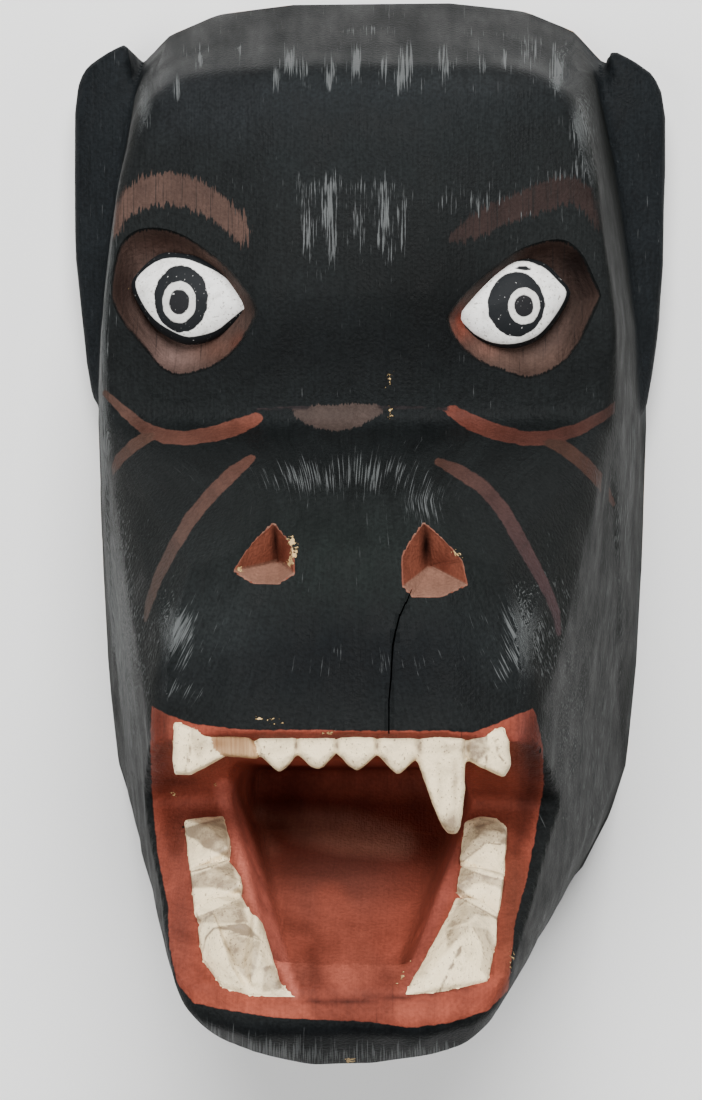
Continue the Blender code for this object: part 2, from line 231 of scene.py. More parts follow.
def mouthWedge():
    # opens the mouth from its corner out past both lips
    (y0, z0), (y1, z1), (y2, z2) = headForm["mouth"]
    blunt, reach, half = (headForm["mouthWedge"][k] for k in ("blunt", "reach", "half"))
    corners = [(y0 + blunt, z0), (y0 - blunt, z0)]
    for y, z, up in ((y2, z2, -blunt), (y1, z1, blunt)):
        corners.append((y0 + up + (y - y0 - up) * reach, z0 + (z - z0) * reach))
    return hull("mouth", [(x, y, z) for y, z in corners for x in (-half, half)])


print("carving the block")
trim = headForm["trim"]
block = hull("carvedMask", rimRing(-trim) + rimRing(0) + bothSides(headForm["forehead"]),
             headForm["edgeRounding"])
snout = hull("snout", rimRing(-trim, 1, 7) + rimRing(0, 1, 7)
             + bothSides(headForm["muzzle"] + headForm["jaw"]), headForm["edgeRounding"])
combine(block, [snout, earBlock(-1), earBlock(1)], "UNION")
rings = [p for out, wood in headForm["hollow"] for p in rimRing(out, wood)]
wearerHollow = hull("hollow", rings)
throat = hull("throat", bothSides(headForm["throat"]), 2.5)
combine(block, [mouthWedge(), throat, wearerHollow], "DIFFERENCE")
change(block, "REMESH", mode="VOXEL", voxel_size=headForm["voxel"] / 1000)
change(block, "SMOOTH", factor=0.5, iterations=headForm["soften"])
applyAll(block)
points = coordinates(block.data)
crown = block.vertex_groups.new(name="crown")
top, brow = headForm["crown"], headForm["browStep"]
for share in headForm["worn"]:
    rounder = (points[:, 1] > top["above"] + top["band"] * share) & (points[:, 2] > top["out"])
    near = np.abs(points[:, 1] - brow["above"]) < brow["band"] + brow["fade"] * (1 - share)
    worn = rounder | (near & (points[:, 2] > brow["out"]))
    crown.add(np.flatnonzero(worn).tolist(), share, "REPLACE")
change(block, "SMOOTH", factor=0.5, iterations=headForm["crownSoften"], vertex_group="crown")
applyAll(block)
saw = bmesh.new()
bmesh.ops.create_cube(saw, size=headForm["saw"])
bmesh.ops.translate(saw, verts=saw.verts, vec=(0, 0, -headForm["saw"] / 2))
combine(block, [meshObject("saw", saw)], "DIFFERENCE", "MANIFOLD")
print("block", len(block.data.polygons), "faces")

relief = {
    "budget": 194000,       # triangles kept in the whole mask
    "keepAbove": 62.0,      # mm: the face above this keeps its full mesh,
    "steep": 0.93,          # but for the steep sides, by the normal's part to the side,
    "steepAbove": -80.0,    # mm up from the middle
    "cadInset": 0.02,       # mm that the carving stays inside the CAD body's box
    "waviness": 0.35,       # mm, slow hand carved unevenness
    "waveLength": 24.0,
    "gougeWidth": 11.0,     # mm, gouge marks in the wearer's hollow
    "gougeDepth": 0.9,
    "gouged": {"from": 2.0, "past": 2.0, "outward": 6.0},      # mm up, and past the hollow's floor
    "toolMark": 0.25,       # mm, small scoops left in the mouth
    "toolWidth": 6.0,
    "tooled": {"margin": 1.5, "above": 72.0},
}


def waves(points, size):
    # smooth noise from -1 to 1 with this wavelength in mm
    return np.array([noise.noise(Vector(p)) for p in points / size]) * 2.0


def scoops(points, size):
    # 0 in the middle of each cell and 1 at its ridges, as overlapping gouge cuts leave it
    found = []
    for p in points / size:
        distance = noise.voronoi(Vector(p))[0]
        found.append(min(1.0, distance[0] / max(distance[1], 1e-6)))
    return np.array(found) ** 2


def planeHeights(points):
    # how far each point is above the upper lip's plane and below the jaw's, in mm
    (y0, z0), (y1, z1), (y2, z2) = headForm["mouth"]
    up = np.array([z1 - z0, -(y1 - y0)])
    low = np.array([-(z2 - z0), y2 - y0])
    offset = points[:, 1:] - (y0, z0)
    return (offset @ up) / np.linalg.norm(up), (offset @ low) / np.linalg.norm(low)


print("carving marks")
points = coordinates(block.data)
normals = coordinates(block.data, "normal")
above, below = planeHeights(points)
gouged, tooled = relief["gouged"], relief["tooled"]
inHollow = (points[:, 2] < headForm["hollowFloor"] + gouged["past"]) & (points[:, 2] > gouged["from"])
inHollow &= (normals[:, :2] * points[:, :2]).sum(1) < gouged["outward"]
inMouth = (above < tooled["margin"]) & (below < tooled["margin"]) & (points[:, 2] > tooled["above"])
push = relief["waviness"] * waves(points, relief["waveLength"])
push[inHollow] += relief["gougeDepth"] * (scoops(points[inHollow], relief["gougeWidth"]) - 0.5)
push[inMouth] += relief["toolMark"] * (scoops(points[inMouth] * (1, 0.5, 1), relief["toolWidth"]) - 0.5)
push[points[:, 2] < 1] = 0      # the back stays flat
points += normals * push[:, None]
low, high = (np.array(corner) * 1000 for corner in cadBox)
moveTo(block, np.clip(points, low + relief["cadInset"], high - relief["cadInset"]))

print("finding the surface")
surface = BVHTree.FromObject(block, bpy.context.evaluated_depsgraph_get())


def onFace(across, down):
    # the point of the carved block, in mm, that the front view shows there
    start = unseen(across, down, 400) / 1000
    towards = unseen(across, down, 0) / 1000 - start
    hit = surface.ray_cast(start, towards.normalized())[0]
    return hit * 1000


def smoothLoop(outline, steps=4):
    # a closed curve through the corners of an outline
    points = np.array(outline, float)
    share = np.arange(steps)[:, None] / steps
    made = []
    for i in range(len(points)):
        a, b, c, d = (points[(i + k) % len(points)] for k in (-1, 0, 1, 2))
        made.append(0.5 * (2 * b + (c - a) * share + (2 * a - 5 * b + 4 * c - d) * share ** 2
                           + (3 * b - a - 3 * c + d) * share ** 3))
    return np.concatenate(made)


eyes = {
    "socketDepth": 11.5,
    # rings of a socket: (part of its outline, part of its depth), after one that is
    # (part of its outline, mm) in front of the face
    "bowlFront": (1.25, -9.0),
    "bowl": [(1.0, 0.0), (0.95, 0.36), (0.84, 0.66), (0.66, 0.88), (0.3, 1.0)],
    "bulge": 8.0,
    "setback": 7.5,
    "tilt": 5.0,
    "ballFoot": -9.0,               # mm, how far down into the socket an eyeball goes
    "ballAngles": (0, 10, 20, 30, 42, 55, 68, 80, 90),      # its rings, in degrees of its swell
    "socket": {
        -1: [(118, 251), (127, 237), (140, 230), (159, 229), (182, 236), (205, 251), (225, 267),
             (242, 288), (254, 308), (246, 328), (228, 352), (205, 366), (177, 372), (159, 363),
             (144, 344), (125, 323), (113, 300), (112, 280)],
        1: [(507, 260), (527, 249), (550, 243), (567, 245), (582, 260), (590, 280), (598, 297),
            (590, 312), (578, 341), (558, 364), (530, 376), (504, 369), (481, 360), (461, 343),
            (451, 325), (452, 313), (474, 287)],
    },
    "ball": {
        -1: [(129, 285), (136, 270), (158, 252), (182, 252), (202, 257), (223, 268), (243, 287),
             (252, 307), (238, 320), (218, 336), (196, 343), (177, 341), (155, 328), (140, 309)],
        1: [(446, 316), (447, 314), (473, 287), (493, 269), (512, 260), (530, 259), (547, 265), (561, 279),
            (570, 292), (565, 306), (552, 326), (537, 340), (515, 348), (492, 346), (472, 337),
            (460, 326)],
    },
}


def socketBowl(side):
    # a hand carved bowl whose rim follows the painted edge
    loop = smoothLoop(eyes["socket"][side], 3)
    rim = [onFace(*p) for p in loop]
    middle = sum(rim, Vector()) / len(rim)
    points = []
    for share, drop in [eyes["bowlFront"]] + [(s, part * eyes["socketDepth"]) for s, part in eyes["bowl"]]:
        points += [middle + (p - middle) * share - Vector((0, 0, drop)) for p in rim]
    return hull(f"socket {side}", points)


def eyeBall(side):
    # an almond that swells out of the socket
    loop = smoothLoop(eyes["ball"][side], 3)
    level = np.mean([onFace(*p).z for p in eyes["socket"][side]]) - eyes["setback"]
    rim = [unseen(*p, level) for p in loop]
    middle = sum(rim, Vector()) / len(rim)
    lean = math.tan(math.radians(eyes["tilt"])) * side
    points = []
    rings = [(1.0, eyes["ballFoot"])]
    for angle in eyes["ballAngles"]:
        rings.append((math.cos(math.radians(angle)), eyes["bulge"] * math.sin(math.radians(angle))))
    for share, lift in rings:
        for p in rim:
            q = middle + (p - middle) * share
            points.append(q + Vector((0, 0, lift - lean * (q.x - middle.x))))
    return hull(f"eyeball {side}", points)


nostrils = {
    "depth": 14.0,
    "flare": 8,                     # mm that the cut goes on out of the face
    -1: {"rim": [(273, 524), (235, 571), (255, 583), (277, 584), (293, 573), (291, 546)], "pit": (274, 562)},
    1: {"rim": [(424, 524), (403, 557), (404, 586), (413, 596), (439, 596), (466, 584), (462, 562)],
        "pit": (429, 566)},
}


def nostrilCut(side):
    # a few chisel cuts that meet in a pit
    shape = nostrils[side]
    rim = [onFace(*p) for p in shape["rim"]]
    mouthOfPit = onFace(*shape["pit"])
    bottom = mouthOfPit - Vector((0, 0, nostrils["depth"]))
    points = [bottom] + rim
    points += [p + (p - bottom).normalized() * nostrils["flare"] for p in rim]
    return hull(f"nostril {side}", points)


upperTeeth = {
    "rounding": 0.7,
    # rings of a tooth: (mm back from its front, part of its outline), and the part at its back
    "rings": [(0.0, 0.80), (0.9, 0.93), (2.8, 1.0)],
    "back": 0.9,
    "gum": 12,                      # grid units: corners this near the gum go up into the lip
    "unitsPerMm": 3.3,
    # "set" is how far a tooth is let up into the lip, in mm
    "incisor": {
        "front": 170.8, "thickness": 9.5, "set": 5.0,
        "outlines": [
            [(255, 741), (256, 753), (272, 768), (279, 773), (285, 769), (297, 755), (297, 741)],
            [(296, 741), (297, 755), (311, 767), (318, 770), (324, 767), (336, 754), (337, 741)],
            [(336, 741), (337, 754), (350, 767), (357, 772), (364, 767), (377, 755), (377, 741)],
            [(377, 741), (378, 755), (391, 769), (398, 775), (405, 770), (419, 756), (420, 741)],
        ],
    },
    "canine": {
        "front": 171.2, "thickness": 13.0, "set": 8.0,
        "outlines": [[(417, 741), (418, 762), (430, 797), (442, 827), (448, 834), (457, 834),
                      (461, 826), (465, 790), (466, 741)]],
    },
    "molar": {
        "front": 171.5, "thickness": 14.0, "set": 0.0,
        "outlines": [
            [(467, 741), (477, 734), (503, 725), (509, 740), (511, 766), (504, 778), (494, 773), (467, 760)],
            [(173, 722), (209, 731), (208, 751), (224, 758), (210, 763), (196, 767), (190, 776),
             (173, 776), (171, 748)],
        ],
    },
    "stump": {
        "front": 171.3, "thickness": 12.0, "set": 6.0,
        "outlines": [[(207, 733), (243, 736), (249, 748), (259, 760), (224, 757), (206, 752)]],
    },
}


def upperTooth(name, outline, front, thickness, deep):
    # the outline is a little smaller at its front, so that its face is softly crowned
    outline = np.array(outline, float)
    gum = outline[:, 1].min()
    middle = outline.mean(0)
    points = []
    for depth, share in upperTeeth["rings"] + [(thickness, upperTeeth["back"])]:
        for p in outline:
            q = middle + (p - middle) * share
            if deep and p[1] < gum + upperTeeth["gum"]:
                q[1] = p[1] - upperTeeth["unitsPerMm"] * deep
            points.append(unseen(*q, front - depth))
    return hull(name, points, upperTeeth["rounding"], 2)


lowerTeeth = {
    "rounding": {"molars": 0.5, "mounds": 2.0},
    "set": 6.0,
    "lean": (0.0, 0.80, 0.60),      # straight out of the jaw's upper face
    # (across, down, height in mm); each tooth is a block over these corners
    "molars": [
        [(184, 829, 3.6), (223, 818, 0.8), (229, 861, 5.0), (189, 873, 0.6), (206, 841, 6.0),
         (230, 845, 1.5)],
        [(190, 878, 3.6), (229, 863, 0.8), (242, 897, 5.0), (194, 920, 0.6), (207, 881, 6.0),
         (240, 880, 1.5)],
        [(195, 922, 4.4), (242, 899, 0.8), (250, 922, 3.6), (204, 933, 3.0), (214, 912, 5.8)],
        [(465, 825, 1.4), (479, 818, 1.0), (497, 820, 1.0), (507, 833, 3.0), (460, 866, 3.4),
         (484, 843, 6.0), (506, 846, 5.0), (504, 877, 0.6)],
        [(461, 869, 1.2), (504, 881, 3.4), (503, 889, 5.0), (480, 882, 6.0), (457, 894, 3.6),
         (498, 917, 0.6)],
        [(456, 899, 1.0), (497, 920, 3.6), (478, 911, 5.6), (447, 924, 2.5), (496, 947, 1.5)],
    ],
    "mounds": [
        [(197, 931, 1.0), (206, 932, 6.5), (214, 935, 8.6), (221, 957, 8.4), (231, 984, 6.0),
         (246, 996, 2.0), (221, 989, 1.0), (203, 965, 1.0), (199, 946, 3.0), (214, 972, 4.5)],
        [(249, 925, 5.0), (264, 939, 5.6), (257, 941, 9.6), (255, 968, 8.6), (251, 992, 3.0),
         (272, 964, 1.0), (282, 991, 0.6), (248, 948, 5.0), (245, 975, 3.6)],
        [(262, 978, 1.6), (277, 982, 0.8), (284, 991, 0.5), (299, 1000, 0.3), (252, 994, 1.2),
         (262, 990, 1.6)],
        [(219, 980, 3.0), (236, 975, 4.6), (256, 984, 2.4), (272, 998, 0.8), (247, 997, 0.8),
         (222, 988, 1.0)],
        [(208, 930, 5.5), (214, 928, 7.6), (250, 925, 7.2), (252, 932, 5.0), (248, 992, 1.5),
         (225, 985, 2.6), (230, 950, 4.0), (212, 940, 4.0)],
        [(470, 923, 7.5), (482, 925, 5.5), (496, 930, 1.5), (493, 956, 1.6), (488, 981, 0.8),
         (444, 991, 2.4), (404, 996, 0.4), (420, 975, 0.8), (437, 943, 1.2), (446, 929, 4.0),
         (457, 924, 6.6), (467, 938, 9.8), (455, 964, 7.6), (484, 946, 5.5)],
    ],
}


def lowerTooth(name, corners, rounding):
    out = Vector(lowerTeeth["lean"])
    points = []
    for across, down, height in corners:
        foot = onFace(across, down)
        points += [foot + out * height, foot - out * lowerTeeth["set"]]
    return hull(name, points, rounding, 3, 12)


toothSkin = {"voxel": 0.62, "soften": 1, "lumps": 0.13, "lumpLength": 3.2}


def pieceTree(pieces):
    # a search tree over small pieces, kept to find their faces once they are part of the mask
    form = bmesh.new()
    for piece in pieces:
        form.from_mesh(piece.data)
    tree = BVHTree.FromBMesh(form)
    form.free()
    return tree


crack = {
    "depth": 5.0,
    "lipDepth": 1.8,                # from the lip's edge, at "lip" in grid units down
    "lip": 712,
    "open": 0.09,                   # mm of half width at the surface for a width of one unit
    "out": 4,                       # mm that a blade stands out of the face, where it is twice as wide
    "line": [  # across, down, width in grid units
        (412, 590, 1.0), (406, 603, 2.0), (400, 615, 2.6), (396, 630, 2.2), (393, 645, 3.0),
        (392, 660, 2.4), (391, 680, 2.4), (389, 700, 2.0), (389, 714, 2.4), (389, 733, 2.0),
    ],
}


def crackBlades():
    # thin wedges that open the drying crack from the nostril to the lip
    blades = []
    for (x0, y0, w0), (x1, y1, w1) in zip(crack["line"], crack["line"][1:]):
        points = []
        for across, down, width in ((x0, y0 - 1, w0), (x1, y1 + 1, w1)):
            middle = onFace(across, down)
            half = Vector((width * crack["open"], 0, 0))
            out = Vector((0, 0, crack["out"]))
            points += [middle + half * 2 + out, middle - half * 2 + out]
            depth = crack["depth"] if down < crack["lip"] else crack["lipDepth"]
            points += [middle + half, middle - half, middle - Vector((0, 0, depth))]
        blades.append(hull(f"crack {len(blades)}", points))
    return blades


print("cutting eyes and nostrils, setting teeth")
balls = [eyeBall(side) for side in (-1, 1)]
pits = [nostrilCut(side) for side in (-1, 1)]
for pit in pits:
    change(pit, "SUBSURF", subdivision_type="SIMPLE", levels=4)     # small faces, to take the paint
    applyAll(pit)
bowls = [socketBowl(side) for side in (-1, 1)]
teeth = []
for kind in ("incisor", "canine", "molar", "stump"):
    shape = upperTeeth[kind]
    for number, outline in enumerate(shape["outlines"]):
        teeth.append(upperTooth(f"{kind} {number}", outline, shape["front"], shape["thickness"],
                                shape["set"]))
for kind in ("molars", "mounds"):
    for number, corners in enumerate(lowerTeeth[kind]):
        teeth.append(lowerTooth(f"lower {kind} {number}", corners, lowerTeeth["rounding"][kind]))
stump = [t for t in teeth if t.name.startswith("stump")]
trees = {
    "tooth": pieceTree([t for t in teeth if t not in stump]),
    "eye": pieceTree(balls),
    "pit": pieceTree(pits),
    "wood": pieceTree(stump),
}
combine(bowls[0], bowls[1:] + pits + crackBlades(), "UNION", "MANIFOLD")
combine(block, [bowls[0]], "DIFFERENCE", "MANIFOLD")
combine(teeth[0], teeth[1:], "UNION", "MANIFOLD")
change(teeth[0], "REMESH", mode="VOXEL", voxel_size=toothSkin["voxel"] / 1000)
change(teeth[0], "SMOOTH", factor=0.5, iterations=toothSkin["soften"])
applyAll(teeth[0])
points = coordinates(teeth[0].data)
push = toothSkin["lumps"] * waves(points, toothSkin["lumpLength"])
points += coordinates(teeth[0].data, "normal") * push[:, None]
moveTo(teeth[0], points)
print("teeth", len(teeth[0].data.polygons), "faces")
trees["carved"] = BVHTree.FromObject(teeth[0], bpy.context.evaluated_depsgraph_get())
combine(teeth[0], balls, "UNION", "MANIFOLD")
combine(block, [teeth[0]], "UNION", "MANIFOLD")

points = coordinates(block.data)
normals = coordinates(block.data, "normal")
plain = block.vertex_groups.new(name="plain")
steep = (np.abs(normals[:, 0]) > relief["steep"]) & (points[:, 1] > relief["steepAbove"])
fewer = steep | (points[:, 2] < relief["keepAbove"])
plain.add(np.flatnonzero(fewer).tolist(), 1.0, "REPLACE")
triangles = sum(len(p.vertices) - 2 for p in block.data.polygons)
change(block, "DECIMATE", ratio=relief["budget"] / triangles, vertex_group="plain",
       vertex_group_factor=1.0, use_collapse_triangulate=True)
applyAll(block)
print("mask", len(block.data.polygons), "faces")


# Brush strokes on the front view: each point is (across, down, half width) in grid units.
# "cover" is how much of a stroke the paint fills and "hairs" how far in mm its hairs stray
# down the face. The rest of the paint is in the dictionaries after it.
strokes = {
    "left brow": {"colour": "45352F", "cover": 0.80, "hairs": 3.2, "line": [
        (113, 232, 3), (119, 210, 8), (133, 196, 13), (150, 188, 16), (170, 186, 16), (188, 190, 15),
        (203, 198, 14), (218, 208, 13), (232, 219, 12), (241, 232, 8), (245, 240, 4)]},
    "right brow": {"colour": "271E1C", "cover": 0.80, "hairs": 3.2, "line": [
        (452, 238, 4), (463, 234, 8), (481, 224, 12), (500, 213, 12), (520, 206, 13), (540, 199, 14),
        (556, 193, 14), (570, 191, 13), (581, 196, 11), (588, 206, 8), (593, 217, 4), (597, 228, 2)]},
    "left cheek": {"colour": "63382D", "end": "40302A", "line": [
        (256, 418, 6), (240, 425, 8), (215, 433, 8), (185, 438, 7), (163, 436, 7), (142, 427, 6),
        (122, 410, 5), (103, 392, 3)]},
    "left cheek below": {"colour": "4A352D", "end": "382A25", "line": [
        (150, 433, 6), (132, 445, 6), (118, 458, 5), (108, 476, 2)]},
    "right cheek": {"colour": "5A3027", "end": "2C211E", "line": [
        (452, 411, 6), (470, 422, 8), (495, 432, 8), (525, 439, 7), (550, 438, 7), (580, 429, 6),
        (605, 415, 5), (628, 395, 2)]},
    "right cheek below": {"colour": "35251F", "end": "3A2721", "line": [
        (548, 440, 6), (568, 451, 7), (585, 465, 7), (600, 482, 6), (613, 505, 2)]},
    "left muzzle": {"colour": "4E332B", "end": "38302C", "line": [
        (251, 458, 4), (233, 472, 7), (212, 492, 7), (190, 518, 7), (172, 548, 6), (158, 575, 5),
        (148, 602, 4), (144, 620, 2)]},
    "right muzzle": {"colour": "3F2B25", "end": "35282A", "line": [
        (439, 462, 4), (460, 472, 7), (482, 486, 7), (503, 510, 7), (520, 540, 7), (535, 567, 6),
        (547, 590, 5), (556, 613, 4), (559, 634, 2)]},
    "bridge": {"colour": "3D332F", "hairs": 1.2, "line": [
        (298, 413, 5), (315, 416, 11), (335, 418, 13), (355, 415, 12), (376, 410, 6)]},
    "bridge line": {"colour": "2C2324", "cover": 0.45, "line": [
        (258, 409, 1.2), (300, 407, 1.6), (380, 407, 1.6), (448, 409, 1.2)]},
}

# Rubbed grey hairs: (across, down, reach across, reach down, amount), softest at the edge.
# The tall ones down the left edge, about 100 to 130 across, are grey painted light on that lit side.
greyHairsAndLitSide = [
    (170, 30, 5, 10, 1.0), (176, 86, 5, 14, 0.9), (200, 55, 5, 14, 0.9), (212, 22, 6, 9, 0.9),
    (237, 40, 5, 13, 0.9), (262, 20, 5, 9, 0.9), (276, 78, 5, 14, 0.9), (291, 58, 6, 16, 1.0),
    (305, 70, 5, 14, 0.7), (330, 75, 6, 18, 0.9), (345, 24, 5, 10, 0.8), (357, 62, 6, 20, 0.9),
    (367, 24, 6, 12, 1.0), (384, 68, 5, 16, 0.9), (399, 82, 5, 16, 0.9), (407, 66, 6, 20, 1.0),
    (418, 28, 5, 10, 0.7), (446, 62, 6, 20, 1.0), (441, 22, 5, 9, 0.8), (472, 24, 5, 12, 0.9),
    (481, 66, 5, 12, 0.7), (494, 28, 6, 12, 0.8), (503, 62, 5, 12, 0.8), (528, 50, 6, 14, 0.6),
    (557, 78, 6, 20, 0.9), (306, 222, 9, 36, 0.95), (330, 222, 9, 42, 0.95), (358, 226, 11, 30, 0.72),
    (384, 228, 9, 48, 0.80), (403, 222, 7, 34, 0.62), (350, 186, 58, 8, 0.45), (350, 45, 215, 38, 0.14),
    (143, 102, 9, 30, 0.85), (578, 124, 9, 30, 0.80), (175, 634, 24, 34, 0.85), (520, 632, 24, 50, 0.78),
    (300, 478, 34, 22, 0.50), (370, 476, 50, 26, 0.62), (430, 500, 22, 30, 0.50), (112, 130, 7, 60, 1.0),
    (106, 230, 7, 60, 1.0), (99, 330, 7, 70, 1.0), (100, 440, 9, 60, 0.85), (108, 600, 20, 120, 0.8),
    (128, 700, 18, 120, 0.5), (565, 690, 26, 130, 0.36), (636, 470, 22, 160, 0.38),
    (600, 800, 40, 120, 0.30), (475, 200, 60, 18, 0.45), (560, 178, 30, 12, 0.5),
    (200, 183, 60, 10, 0.35), (180, 690, 26, 10, 0.4), (205, 1036, 26, 16, 0.72),
    (262, 1054, 50, 14, 0.75), (350, 1058, 70, 13, 0.62), (430, 1053, 50, 14, 0.66),
    (488, 1030, 14, 16, 0.7), (590, 150, 12, 60, 0.5), (540, 60, 40, 30, 0.4), (250, 420, 40, 8, 0.25),
    (380, 665, 120, 20, 0.22), (620, 620, 26, 200, 0.30),
]

mouthPaint = {
    "outline": [
        (150, 707), (167, 716), (194, 725), (247, 731), (327, 735), (389, 738), (461, 736), (488, 727),
        (515, 715), (534, 708), (543, 747), (543, 787), (534, 841), (526, 881), (515, 921), (511, 961),
        (508, 990), (488, 1010), (448, 1023), (408, 1028), (368, 1022), (274, 1019), (228, 1012),
        (193, 1005), (177, 987), (168, 948), (167, 908), (156, 854), (151, 800), (149, 747),
    ],
    "colour": "7D3C2E",
    "deepest": 66.0,
    "above": 0.7,                   # mm that the red goes up over the upper lip's plane,
    "below": 4.0,                   # and this much less than down to the jaw's
    # the red leaves out faces that turn away from the eye and out from this middle
    "middle": (0.0, -118.0),
    "turned": 0.08,
    "outward": 0.25,
    # broad strokes inside the mouth: colour, strength, softness and (across, down, half width).
    # Most are painted light and shade: light on the tongue's left bevel and across its back, shade on its
    # right bevel, painted shadow lines in the creases beside it and at its front step, and shade on the
    # corner walls.
    "slopes": [
        ("5C2C22", 0.75, 10, [(322, 955, 16), (345, 975, 38), (351, 992, 46)]),
        ("A2584A", 0.95, 5, [(224, 790, 10), (243, 850, 11), (262, 910, 9), (280, 960, 7), (296, 996, 3)]),
        ("7C3F35", 0.70, 7, [(458, 850, 7), (446, 890, 8), (430, 930, 7), (414, 970, 6), (404, 994, 3)]),
        ("8E5A4A", 0.60, 14, [(262, 812, 5), (272, 850, 5)]),
        ("5A2E24", 0.30, 7, [(284, 900, 3), (294, 945, 4), (302, 985, 3)]),
        ("52261C", 0.35, 9, [(440, 840, 8), (425, 890, 6), (408, 940, 5), (398, 985, 3)]),
        ("844436", 0.75, 14, [(330, 900, 16), (345, 940, 26), (350, 965, 28)]),
        ("A5715F", 0.80, 16, [(262, 815, 4), (300, 825, 16), (345, 832, 20), (400, 842, 14)]),
        ("3A1913", 0.80, 3, [(298, 1000, 1.5), (327, 1004, 2), (402, 998, 2), (475, 986, 1)]),
        ("5B271C", 0.60, 10, [(158, 720, 6), (160, 760, 8), (166, 810, 8), (172, 850, 4)]),
        ("401C15", 0.60, 10, [(533, 718, 5), (532, 770, 8), (526, 820, 8), (515, 850, 5)]),
    ],
    # soft changes of colour: (across, down, reach across, reach down, colour, strength); the darker
    # ones on the side walls and in the corners are painted shade
    "washes": [
        (345, 870, 80, 34, "5E372F", 0.75), (330, 900, 60, 60, "6A3E34", 0.5),
        (345, 1012, 160, 10, "8E4838", 0.9), (160, 730, 12, 40, "61372D", 0.8),
        (528, 745, 14, 50, "56312C", 0.8), (180, 925, 16, 60, "66342A", 1.0),
        (174, 845, 12, 30, "6A362A", 0.9), (514, 895, 16, 70, "5E3024", 1.0),
        (508, 955, 14, 30, "683527", 0.8), (340, 738, 150, 4, "6F332D", 0.9),
        (245, 900, 12, 60, "8B4F41", 0.5), (190, 840, 30, 50, "6D3A31", 0.5),
        (340, 975, 60, 16, "5A322A", 0.8), (232, 1002, 60, 10, "86402F", 0.6),
        (158, 722, 8, 18, "3A1A14", 0.8), (172, 783, 24, 6, "46201A", 0.7),
        (536, 745, 9, 46, "371812", 0.8), (526, 800, 14, 7, "43201A", 0.6),
        (206, 700, 60, 14, "4C251D", 0.5), (148, 860, 10, 40, "5C2A1E", 0.6),
    ],
}

socketPaint = {
    "colour": "3F312C",
    "over": 0.2,                    # mm past the socket's rim
    "hairs": 0.9,
    "cover": 0.86,
    # the lighter washes on the lower walls are painted light and the darker ones on the upper walls painted
    # shade; the other dark patches are black smudges
    "washes": [
        (168, 357, 30, 12, "66524C", 0.9), (214, 348, 20, 12, "573D34", 0.8),
        (122, 290, 12, 40, "261B18", 0.9), (160, 243, 30, 10, "3C2B26", 0.8),
        (205, 254, 26, 9, "4B3A33", 0.8), (525, 360, 50, 14, "4C3B34", 0.9),
        (465, 330, 16, 14, "5E3A30", 0.9), (575, 262, 26, 20, "130C0A", 0.95),
        (578, 318, 12, 20, "211914", 0.9), (530, 250, 30, 8, "241713", 0.8),
        (256, 302, 8, 20, "15100E", 0.95), (236, 272, 20, 6, "1D1613", 0.8),
        (478, 280, 18, 9, "17110F", 0.85), (500, 262, 20, 8, "0E0D0C", 0.95),
        (487, 349, 14, 9, "6B4C42", 0.8), (582, 285, 13, 20, "0C0706", 0.95),
        (240, 343, 8, 8, "6A3526", 0.5), (461, 322, 5, 12, "7A3020", 0.8),
    ],
}

nostrilPaint = {
    # the pale colour goes on the faces that turn up: painted light
    "pale": "775648",
    "deep": "6B3C2E",
    "litFacetFrom": 0.35,
    "deepest": 120.0,
    "above": 130.0,                 # mm, lower down the rim's outline paints nothing
    "reach": 0.00012,               # metres from the cut, for a point that is in it
    "washes": [
        # dark washes: a painted shadow at each pit's top and painted shade on its right facet
        (275, 545, 3, 22, "100605", 0.95), (284, 552, 7, 18, "4A2219", 0.7), (426, 546, 5, 20, "0A0303", 1.0),
        (445, 565, 8, 12, "4A2118", 0.6),
    ],
}

groundPaint = {
    "colour": "141616",
    # the sides' colour is a painted shade on faces that turn to the side
    "sides": "0E100E",
    "ears": "15181A",
    "washes": [
        (350, 655, 170, 40, "101316", 0.7), (350, 560, 130, 60, "151A18", 0.6),
        (350, 330, 200, 50, "111415", 0.6), (350, 28, 260, 30, "060707", 0.75),
        (350, 96, 250, 26, "1C1F21", 0.7), (440, 300, 70, 60, "050606", 0.7),
        (350, 350, 220, 40, "060708", 0.5), (350, 660, 190, 50, "060708", 0.6),
        (350, 130, 220, 70, "171A1B", 0.6), (350, 1032, 200, 10, "0C0E10", 0.8),
        (350, 420, 220, 40, "131617", 0.5), (200, 620, 60, 60, "1E2121", 0.7),
        (500, 650, 40, 40, "1B1E1E", 0.5), (200, 110, 80, 30, "1B1D1F", 0.5),
        (500, 82, 120, 12, "202223", 0.5), (200, 82, 60, 10, "1F2123", 0.4),
    ],
    "hairs": 0.03,                  # a little grey everywhere on the front
    "hairsBehind": 0.12,
    "paintedSideShade": {"from": 0.55, "over": 0.3, "below": 165.0, "amount": 0.8},
    "earsAre": {"below": 28.0, "outside": 74.0, "above": 25.0},
}

# How the grey hairs run: down the front, along the wood at the sides, and fanned on the muzzle
hairRun = {
    "sideFrom": 0.5, "sideOver": 0.3,       # parts of the normal that point to the side
    "above": 95.0,                          # mm, where the fan starts
    # the fan in grid units: across from its middle, and down from one height to another
    "fan": 0.5, "middle": 350, "reach": 160, "from": 440, "to": 960, "fade": 60, "point": 640,
}

